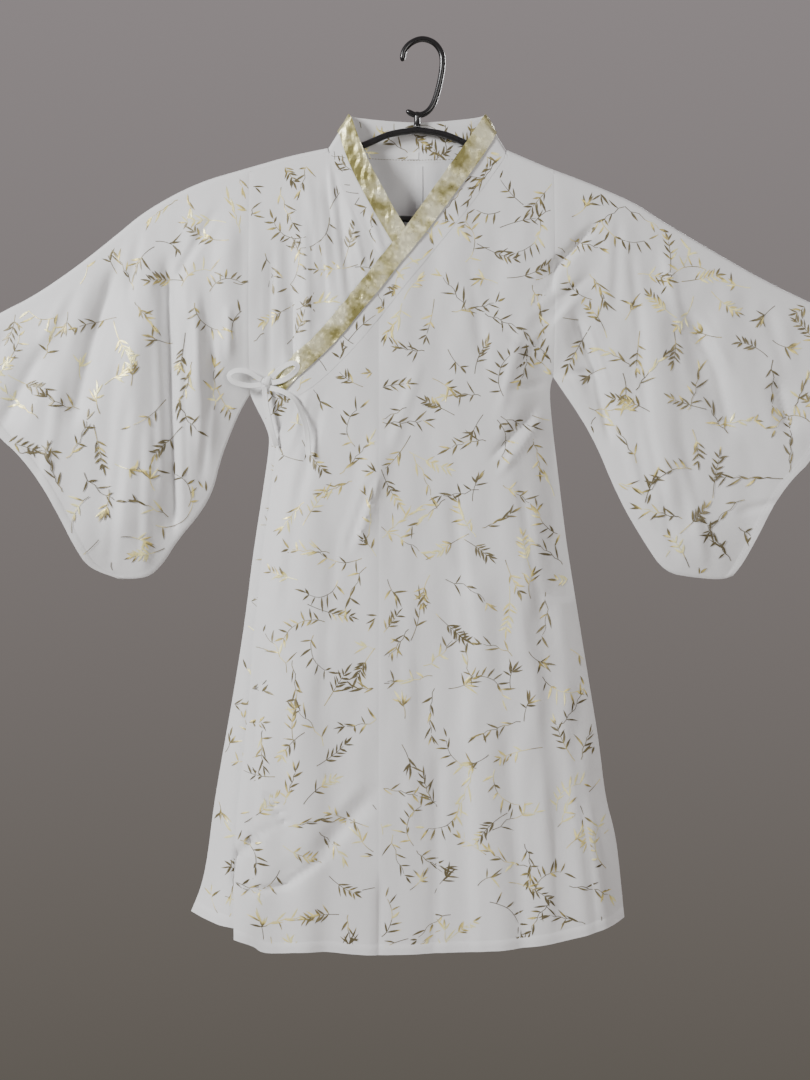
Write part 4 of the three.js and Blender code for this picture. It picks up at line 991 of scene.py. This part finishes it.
def sprig(rng):
    names = list(SPRIG_KINDS)
    name = names[rng.choice(4, p=[SPRIG_KINDS[n]["share"] for n in names])]
    nodes = int(rng.integers(4, 7))
    stem, bend = sprig_stem(rng, SPRIG_KINDS[name], nodes)
    way = np.gradient(stem, axis=0)
    leaves = []

    def leaf(share, turn, size):
        root = along(stem, np.clip(share, 0.05, 0.99))
        dx, dz = way[int(np.clip(share, 0, 1) * STEM_STEPS)]
        heading = math.atan2(dx, dz) + turn
        leaves.append((root, heading, size * rng.uniform(1.1, 1.55), rng.uniform(0.85, 1.4)))

    if name == "feather":
        for share in np.linspace(rng.uniform(0.3, 0.5), 0.95, nodes):
            for side in (-1, 1):
                if rng.random() > 0.1:
                    at = share + rng.uniform(-0.02, 0.02)
                    leaf(at, side * rng.uniform(0.55, 0.95), lerp(10.5, 7.5, share))
    elif name == "twig":
        for k, share in enumerate(np.linspace(0.18, 0.94, nodes)):
            leaf(share, (-1) ** k * rng.uniform(0.45, 1.15), rng.uniform(9, 14))
            if rng.random() < 0.3:
                leaf(share + 0.03, (-1) ** (k + 1) * rng.uniform(0.5, 1.2), rng.uniform(6, 10))
    elif name == "fan":
        for turn in np.linspace(-1.05, 1.05, nodes):
            leaf(rng.uniform(0.55, 0.95), turn + rng.uniform(-0.2, 0.2), rng.uniform(8, 13))
    else:
        for share in np.linspace(0.12, 0.9, nodes + 1):
            leaf(share, -np.sign(bend) * rng.uniform(0.8, 1.4), rng.uniform(7, 13))
            if rng.random() < 0.3:
                leaf(share, np.sign(bend) * rng.uniform(0.5, 0.9), rng.uniform(6, 9))
    leaf(0.99, rng.uniform(-0.25, 0.25), rng.uniform(7, 11))
    return stem, leaves


LEAF_SHARES = np.array([0.0, 0.12, 0.3, 0.52, 0.76, 1.0])
LEAF_WIDTHS = np.array([0.08, 0.55, 0.95, 1.0, 0.6, 0.0])
PAINTED_LEAF_GLINTS = np.array([0.95, 0.65, 0.35, 0.08])  # painted glint of a leaf: how bright its foil is drawn, in place of reflected light
PAINTED_GLINT_ODDS = np.array([0.20, 0.25, 0.30, 0.25])
PAINTED_GLINT_ODDS = PAINTED_GLINT_ODDS / PAINTED_GLINT_ODDS.sum()


def leaf_outline(root, angle, size, half, curl):
    """Left, middle and right points of a leaf that bends a little to one side."""
    turn = angle + curl * LEAF_SHARES
    step = np.diff(LEAF_SHARES, prepend=0) * size
    middle = root + np.cumsum(np.stack([np.sin(turn), np.cos(turn)], -1) * step[:, None], axis=0)
    normal = np.stack([np.cos(turn), -np.sin(turn)], -1)
    width = (LEAF_WIDTHS * half)[:, None]
    return np.stack([middle - normal * width, middle, middle + normal * width], axis=1)


def sprig_plan(rng, outs, bounds, spacing):
    """Sprigs on a loose lattice over each outer face: face, middle, angle, stem and leaves."""
    x0, x1, z0, z1 = bounds
    plan = []
    for out in outs:
        for r in range(int((z1 - z0) / spacing) + 2):
            for c in range(int((x1 - x0) / spacing) + 2):
                x = x0 + (c + 0.5 * (r % 2) + rng.uniform(-0.34, 0.34)) * spacing
                z = z0 + (r + rng.uniform(-0.34, 0.34)) * spacing * 0.95
                angle = rng.uniform(-np.pi, np.pi)
                stem, leaves = sprig(rng)
                if rng.random() >= 0.05:
                    plan.append((out, np.array([x, z]), angle, stem, leaves))
    return plan


def print_sprigs(name, holder, seed, bounds, spacing=40.0):
    """Scatters sprigs over a piece's outer faces and returns them as one mesh."""
    rng = np.random.default_rng(seed)
    strips = []
    for out, middle, angle, stem, leaves in sprig_plan(rng, holder.outs, bounds, spacing):
        turn = np.array([[math.cos(angle), -math.sin(angle)], [math.sin(angle), math.cos(angle)]])
        # each sprig's painted glint, which most of its leaves share
        base = rng.choice(len(PAINTED_LEAF_GLINTS), p=PAINTED_GLINT_ODDS)
        for root, way, size, half in leaves:
            outline = leaf_outline(root, way, size, half, rng.uniform(-0.35, 0.35)) @ turn.T + middle
            tone = base if rng.random() < 0.45 else rng.choice(len(PAINTED_LEAF_GLINTS), p=PAINTED_GLINT_ODDS)
            strips.append((outline, PAINTED_LEAF_GLINTS[tone], rng.uniform(-0.22, 0.22), out))
        fine = along(stem, np.linspace(0, 1, 12))
        way = ways(fine)
        side = np.stack([-way[:, 1], way[:, 0]], -1) * np.linspace(0.42, 0.26, 12)[:, None]
        for k in range(0, 10, 2):
            part = slice(k, k + 3)
            outline = np.stack([fine[part] - side[part], fine[part], fine[part] + side[part]], 1)
            strips.append((outline @ turn.T + middle, PAINTED_LEAF_GLINTS[base], 0.0, out))
    return lay_strips(name, holder, strips, FOIL)


def lay_strips(name, holder, strips, material):
    """Lays flat strips on a piece's outer faces, leaving out what crosses its edges."""
    shapes, painted_glints, tilts, outs = zip(*strips)
    sizes = np.array([len(shape) for shape in shapes])
    x, z = np.concatenate([shape.reshape(-1, 2) for shape in shapes]).T
    owner = np.repeat(np.arange(len(sizes)), sizes * 3)
    kept = np.bincount(owner, weights=~holder.holds(x, z), minlength=len(sizes)) == 0
    across = np.concatenate([np.tile([-1.0, 0.0, 1.0], n) for n in sizes])
    out = np.array(outs)[owner]
    y, slope = np.empty(len(x)), np.empty(len(x))
    step = 0.8
    for way in set(outs):
        m = out == way
        here = holder.y(x[m], z[m], way)
        side = (holder.y(x[m] + step, z[m], way) - here) / step
        down = (holder.y(x[m], z[m] + step, way) - here) / step
        y[m], slope[m] = here, np.sqrt(1 + side**2 + down**2)
    lift = CLOTH / 2 + PRINT_LIFT + LEAF_CROWN * (across == 0) + across * np.array(tilts)[owner] * LEAF_TILT
    y += out * np.maximum(lift, CLOTH / 2 + 0.06) * slope
    points = np.stack([x, y, z], -1)
    faces = []
    base = 0
    for k in np.flatnonzero(kept):
        for a in (base + 3 * i + j for i in range(sizes[k] - 1) for j in range(2)):
            quad = (a, a + 1, a + 4, a + 3)
            faces.append(quad if outs[k] < 0 else quad[::-1])
        base += sizes[k] * 3
    piece = new_object(name, points[kept[owner]], faces)
    painted_glint = np.array(painted_glints)[owner][kept[owner]]
    # the tone attribute carries each leaf's painted glint to the foil's colour
    tone = piece.data.color_attributes.new("tone", "FLOAT_COLOR", "POINT")
    tone.data.foreach_set("color", np.stack([painted_glint, painted_glint, painted_glint, np.ones(len(painted_glint))], -1).ravel())
    return finish_piece(piece, material)


# Rows of stitches
def stitches(name, holder, line, out, width=STITCH["width"], thread=THREAD):
    """Stitches along a line of x and z on a piece's outer face."""
    total = run_along(line)[-1]
    shares = np.arange(STITCH["pitch"] / 2, total - STITCH["pitch"] / 2, STITCH["pitch"]) / total
    ahead, behind = (along(line, shares + v * STITCH["length"] / total) for v in (0.5, -0.5))
    way = unit(ahead - behind)
    side = np.stack([-way[:, 1], way[:, 0]], -1) * width / 2
    strips = []
    for a, b, c, s in zip(behind, lerp(behind, ahead, 0.5), ahead, side):
        rows = ((a, s * 0.6), (b, s), (c, s * 0.6))
        strips.append((np.array([[p - w, p, p + w] for p, w in rows]), PAINTED_LEAF_GLINTS[0], 0.0, out))
    return lay_strips(name, holder, strips, thread)


def seam_allowance():
    """The pressed allowance of the centre-back seam, on the inner face of the back."""
    z = np.linspace(-140.0, -1008.0, 220)[:, None]
    x = np.linspace(0.4, 6.4, 6)[None, :]
    x, z = np.broadcast_arrays(x, z)
    y = depth_at("back", x, z) - CLOTH / 2 - HAIR - 0.45
    piece = shell("back_seam_allowance", np.stack([x, y, z], -1), CLOTH)
    return finish_piece(piece, PRINTED)


def bounds_of(grid):
    x, z = grid[..., 0], grid[..., 2]
    return x.min(), x.max(), z.min(), z.max()


def build_panels():
    for k, (name, panel) in enumerate(PANELS.items()):
        grid = panel.grid()
        piece = cloth_piece(name, grid)
        hidden = name == "overlap_under"
        trims = [] if hidden else [print_sprigs(name + "_print", panel, SEED + k, bounds_of(grid))]
        hem = grid[-1, 3:-3, ::2] + [0, HEM_TURN - 1.5]
        trims.append(stitches(name + "_hem_stitches", panel, hem, panel.outs[0]))
        if name == "back_right":
            trims.append(seam_allowance())


def build_sleeves():
    for k, (name, sleeve) in enumerate(SLEEVES.items()):
        grid = sleeve.grid()
        piece = cloth_piece(name, grid, closed=True)
        trims = [print_sprigs(name + "_print", sleeve, SEED + 20 + k, bounds_of(grid))]
        line = sleeve.patch(np.full(60, CUFF_SHARE), np.linspace(0.03, 0.97, 60))
        for side, out in (("front", -1.0), ("back", 1.0)):
            trims.append(stitches(f"{name}_cuff_stitches_{side}", sleeve, line, out))
        round_all = run_along(grid[len(grid) // 2])[-1] * MM
        length = run_along(sleeve.crest)[-1] * MM
        area = grid_area(np.concatenate([grid, grid[:, :1]], axis=1))
        flat = (max(round_all, area / length), length)
        rests = [name.replace("sleeve", "back") + "_cloth"]
        area = min(area, flat[0] * flat[1])


# Neckband
def band_grid(shares, count=330):
    """The band's middle surface, at shares of its width from the seam to the free edge."""
    rows = np.vstack([BAND_OVER, BAND_BACK, BAND_UNDER])
    part = np.repeat([0.0, 1.0, 2.0], [len(BAND_OVER), len(BAND_BACK), len(BAND_UNDER)])
    # turn and part are scaled down, so that they hardly add to the line's length
    columns = [rows[:, 1:3], rows[:, 3:5], rows[:, :1] * 0.3, part[:, None] * 0.01]
    sections = curve_through(np.column_stack(columns), count)
    turn = np.clip(sections[:, 4] / 0.3, -90, 90)
    part = sections[:, 5] / 0.01
    round_ = RIDGE * np.abs(np.sin(np.radians(turn)))
    columns = []
    for share in shares:
        x, z = lerp(sections[:, :2], sections[:, 2:4], share).T
        front, under, back = (cloth_y(layer, x, z, round_) for layer in ("over", "under", "back"))
        y = np.where(turn >= 0, back, np.where(part < 1, front, under))
        columns.append(np.stack([x, y, z], axis=-1))
    return np.stack(columns, axis=1)


class Band:
    """The printed part of the neckband on one layer, for its sprigs."""

    def __init__(self, layer, rows, white, out=-1.0):
        self.layer, self.outs = layer, (out,)
        seam, edge = rows[:, 1:3], lerp(rows[:, 1:3], rows[:, 3:5], white)
        self.outline = np.vstack([seam, edge[::-1]])

    def holds(self, x, z, margin=0.7):
        return inside_outline(self.outline, x, z) & (distance_to(self.outline, x, z) > margin)

    def y(self, x, z, way):
        return cloth_y(self.layer, x, z) + way * (BAND_WALL - CLOTH) / 2


def satin_grid():
    """The satin strip on the free half of the band: it puckers across the band, most in its middle."""
    strip = band_grid(np.linspace(1 - TRIM_WIDTH / BAND_WIDTH, 1.0, 13), 640)
    run = np.linspace(0, 1080, strip.shape[0])[:, None]
    across = np.linspace(0, 1, strip.shape[1])[None, :]
    middle = np.sin(np.pi * across)
    pucker = 0.30 * np.sin(run / 2.4 + 1.2 * np.sin(run / 17) + 4 * across) * middle
    pucker += 0.34 * np.sin(run / 5.6 + 3.0 * across + 1.7 * np.sin(run / 31)) * middle**0.5
    pucker = pucker * lerp(1.7, 1.0, ease((run - 380) / 80))
    lift = BAND_WALL / 2 + HAIR + TRIM_WALL / 2 + TRIM_LIFT + pucker
    return strip - grid_normals(strip) * lift[..., None]


def build_neckband():
    band = shell("neckband_cloth", band_grid(np.linspace(0, 1, 15)), BAND_WALL)
    finish_piece(band, PRINTED, ["neckband"])
    trim = shell("neckband_satin", satin_grid(), TRIM_WALL)
    finish_piece(trim, SATIN, ["neckband_trim"])
    white = 1 - TRIM_WIDTH / BAND_WIDTH
    behind = BAND_BACK[1:-1]
    sides = (
        ("over", BAND_OVER[:15], white, -1.0), ("under", BAND_UNDER[2:], white, -1.0),
        ("back", behind, 0.97, -1.0), ("back", behind, white, 1.0),
    )
    for k, (layer, rows, share, out) in enumerate(sides):
        part = Band(layer, rows, share, out)
        (x0, z0), (x1, z1) = part.outline.min(axis=0), part.outline.max(axis=0)
        name = f"neckband_print_{layer}" + ("_outer" if out > 0 else "")
        print_sprigs(name, part, SEED + 40 + k, (x0, x1, z0, z1), 26.0)
    seam = seam_rows(BAND_BACK)[1:-1] + [0, 2.6]
    holder = Band("back", behind, 0.97)
    # stitches drawn dark as painted shadow along the band's seam
    stitches("neckband_back_stitches", holder, seam, -1.0, width=0.8, thread=NECK_SHADOW_THREAD)


def build_label():
    wall = LABEL["wall"]
    across, down = np.linspace(LABEL["left"], LABEL["right"], 9), np.linspace(LABEL["top"], LABEL["foot"], 7)
    x, z = np.meshgrid(across, down)
    y = depth_at("back", x, z) - BAND_WALL / 2 - HAIR - wall
    piece = shell("neck_label_cloth", np.stack([x, y, z], -1), wall)
    finish_piece(piece, LABEL_CLOTH, ["neck_label"])


# Tie
def ribbon_grid(points, count, twist):
    """A flat folded strip with full edges and a channel down its middle."""
    line = curve_through(points, count)
    way = ways(line)
    side = unit(np.stack([-way[:, 2], np.zeros(count), way[:, 0]], -1))
    depth = np.cross(way, side)
    roll = twist * np.sin(np.pi * np.linspace(0, 1, count) * 1.3)
    cos, sin = np.cos(roll)[:, None], np.sin(roll)[:, None]
    side, depth = side * cos + depth * sin, depth * cos - side * sin
    angle = around(20)
    u = blunt(np.cos(angle), 0.7) * RIBBON["wide"] / 2
    v = blunt(np.sin(angle), 0.8) * RIBBON["thick"] / 2
    v = v * (0.42 + 0.58 * np.abs(np.cos(angle)) ** 1.6)
    return line[:, None] + side[:, None] * u[None, :, None] + depth[:, None] * v[None, :, None]


def knot_core(centre):
    """The crossed strands under the wrap: a pinched cushion with ridges along it."""
    u = np.linspace(-1, 1, 25)[:, None]
    angle = around(36)[None, :]
    size = np.sqrt(np.clip(1 - np.abs(u) ** 2.6, 0, 1)) * (0.74 + 0.26 * np.abs(u)) * 0.9
    size[0] = size[-1] = 0.12
    size = size * (1 + 0.07 * np.cos(5 * angle)) * 0.86
    x = np.broadcast_to(u * KNOT["wide"] * 0.98, size.shape)
    y, z = size * np.cos(angle) * KNOT["deep"], size * np.sin(angle) * KNOT["tall"]
    return np.stack([x, y, z], -1) + centre


def knot_wrap(centre, half=3.1, thick=1.3):
    """One turn of the tie, wrapped round the crossed strands."""
    angle = np.linspace(0, 2 * np.pi, 49)[:-1]
    wide, deep, tall = 0.12 * KNOT["wide"], 0.72 * KNOT["deep"], 0.78 * KNOT["tall"]
    line = centre + np.stack([wide * np.sin(angle), deep * np.cos(angle), tall * np.sin(angle)], -1)
    side = np.tile([1.0, 0.0, 0.0], (len(line), 1))
    depth = np.cross(ways(line, closed=True), side)
    angle = around(16)
    u = blunt(np.cos(angle), 0.6) * half
    v = blunt(np.sin(angle), 0.8) * thick / 2 + 0.22 * np.cos(3 * u)
    return line[:, None] + side[:, None] * u[None, :, None] + depth[:, None] * v[None, :, None]


def build_tie():
    pieces = (
        ("tie_loop_left", LOOP_LEFT, 90, 0.35), ("tie_loop_right", LOOP_RIGHT, 80, -0.3),
        ("tie_tail_inner", TAIL_INNER, 60, 0.5), ("tie_tail_outer", TAIL_OUTER, 70, -0.5),
    )
    for node, points, count, twist in pieces:
        piece = capped(node + "_cloth", ribbon_grid(points, count, twist))
        finish_piece(piece, TAPE, [node])
        length = run_along(curve_through(points, 60))[-1] * MM
    centre = np.array([KNOT["x"], KNOT["y"], KNOT["z"]])
    piece = capped("tie_knot_cloth", knot_core(centre))
    wrap = hoop("tie_knot_wrap", knot_wrap(centre))
    with bpy.context.temp_override(active_object=piece, selected_editable_objects=[piece, wrap]):
        bpy.ops.object.join()
    finish_piece(piece, TAPE, ["tie_knot"])


# Hanger
def rod_grid(line, radius, closed=False, channel=0.0):
    """A moulded rod: round, with a shallow channel along its front when asked."""
    way = ways(line, closed)
    side = np.stack([-way[:, 1], way[:, 0]], -1)
    angle = around(24)
    from_front = np.angle(np.exp(1j * (angle + np.pi / 2)))
    reach = radius * (1 - channel * np.exp(-((from_front / 0.42) ** 2)))
    x, z = (line[:, k : k + 1] + side[:, k : k + 1] * (np.cos(angle) * reach) for k in range(2))
    return np.stack([x, np.broadcast_to(np.sin(angle) * reach, x.shape), z], -1)


def build_hanger():
    bar = np.stack([np.linspace(ARM[-1, 0], -ARM[-1, 0], 8)[1:-1], np.full(6, BAR_Z)], -1)
    loop = np.vstack([ARM, bar, ARM[1:][::-1] * [-1, 1], ARM[:1]])
    line = curve_through(loop, 361)[:-1]
    arms = hoop("hanger_arms", rod_grid(line, HANGER_ROD, closed=True, channel=0.16))
    finish_piece(arms, PLASTIC, ["hanger_frame"])
    radius = np.full(150, HOOK_ROD)
    radius[:6] *= np.sqrt(1 - (1 - np.arange(6) / 6) ** 2) * 0.9 + 0.1
    radius[-6:] = radius[:6][::-1]
    hook = capped("hanger_hook_rod", rod_grid(curve_through(HOOK, 150), radius[:, None]))
    finish_piece(hook, PLASTIC, ["hanger_hook"])
    # the stem: a short waisted post with a collar above the arms
    z, r = STEM[:, :1], STEM[:, 1:]
    angle = around(28)
    stem = np.stack([r * np.cos(angle), r * np.sin(angle), np.repeat(z, 28, 1)], -1)
    finish_piece(capped("hanger_stem", stem), PLASTIC)


# Room
def build_floor(z=-1750.0, reach=1600.0):
    angle = around(64)
    rim = np.stack([np.cos(angle) * reach, np.sin(angle) * reach, np.full(64, z)], -1)
    floor = new_object("pale_floor", rim, [tuple(range(64))])
    f = Finish("pale_floor_paint", Roughness=0.9)
    colour = (0.55, 0.53, 0.51)
    f.set(Base_Color=f.mix(f.noise(f.place(), 3, 2), tuple(c * 0.98 for c in colour), colour))
    floor.data.materials.append(f.material)


def add_light(name, place, target, size, power, colour):
    data = bpy.data.lights.new(name, "AREA")
    data.shape, data.size, data.energy, data.color = "DISK", size, power, colour
    light = bpy.data.objects.new(name, data)
    light.location = place
    x, y, z = np.array(target) - np.array(place)
    light.rotation_euler = (math.atan2(math.hypot(x, y), -z), 0, math.atan2(x, -y) + math.pi)
    bpy.context.collection.objects.link(light)


def build_lights():
    middle = (0.0, 0.0, -0.55)
    add_light("key", (-2.2, -1.6, 0.6), middle, 0.85, 105, (0.985, 0.99, 1.0))
    add_light("fill", (1.5, -2.6, -0.1), middle, 1.6, 26, (1.0, 0.975, 0.95))
    add_light("back_fill", (1.4, 2.4, 0.5), middle, 1.2, 60, (0.97, 0.98, 1.0))
    world = bpy.data.worlds.new("soft_room")
    world.use_nodes = True
    f = Nodes(world.node_tree)
    up = f.make("ShaderNodeSeparateXYZ", {}, {0: f.make("ShaderNodeTexCoord", out="Generated")}, out="Z")
    spread = f.make("ShaderNodeMapRange", {}, {"From Min": -0.32, "From Max": 0.32, "Value": up})
    wall = f.mix(spread, (0.115, 0.103, 0.086), (0.285, 0.255, 0.258))
    f.put(world.node_tree.nodes["Background"].inputs["Color"], wall)
    bpy.context.scene.world = world


build_panels()
build_sleeves()
build_neckband()
build_label()
build_tie()
build_hanger()
build_floor()
build_lights()
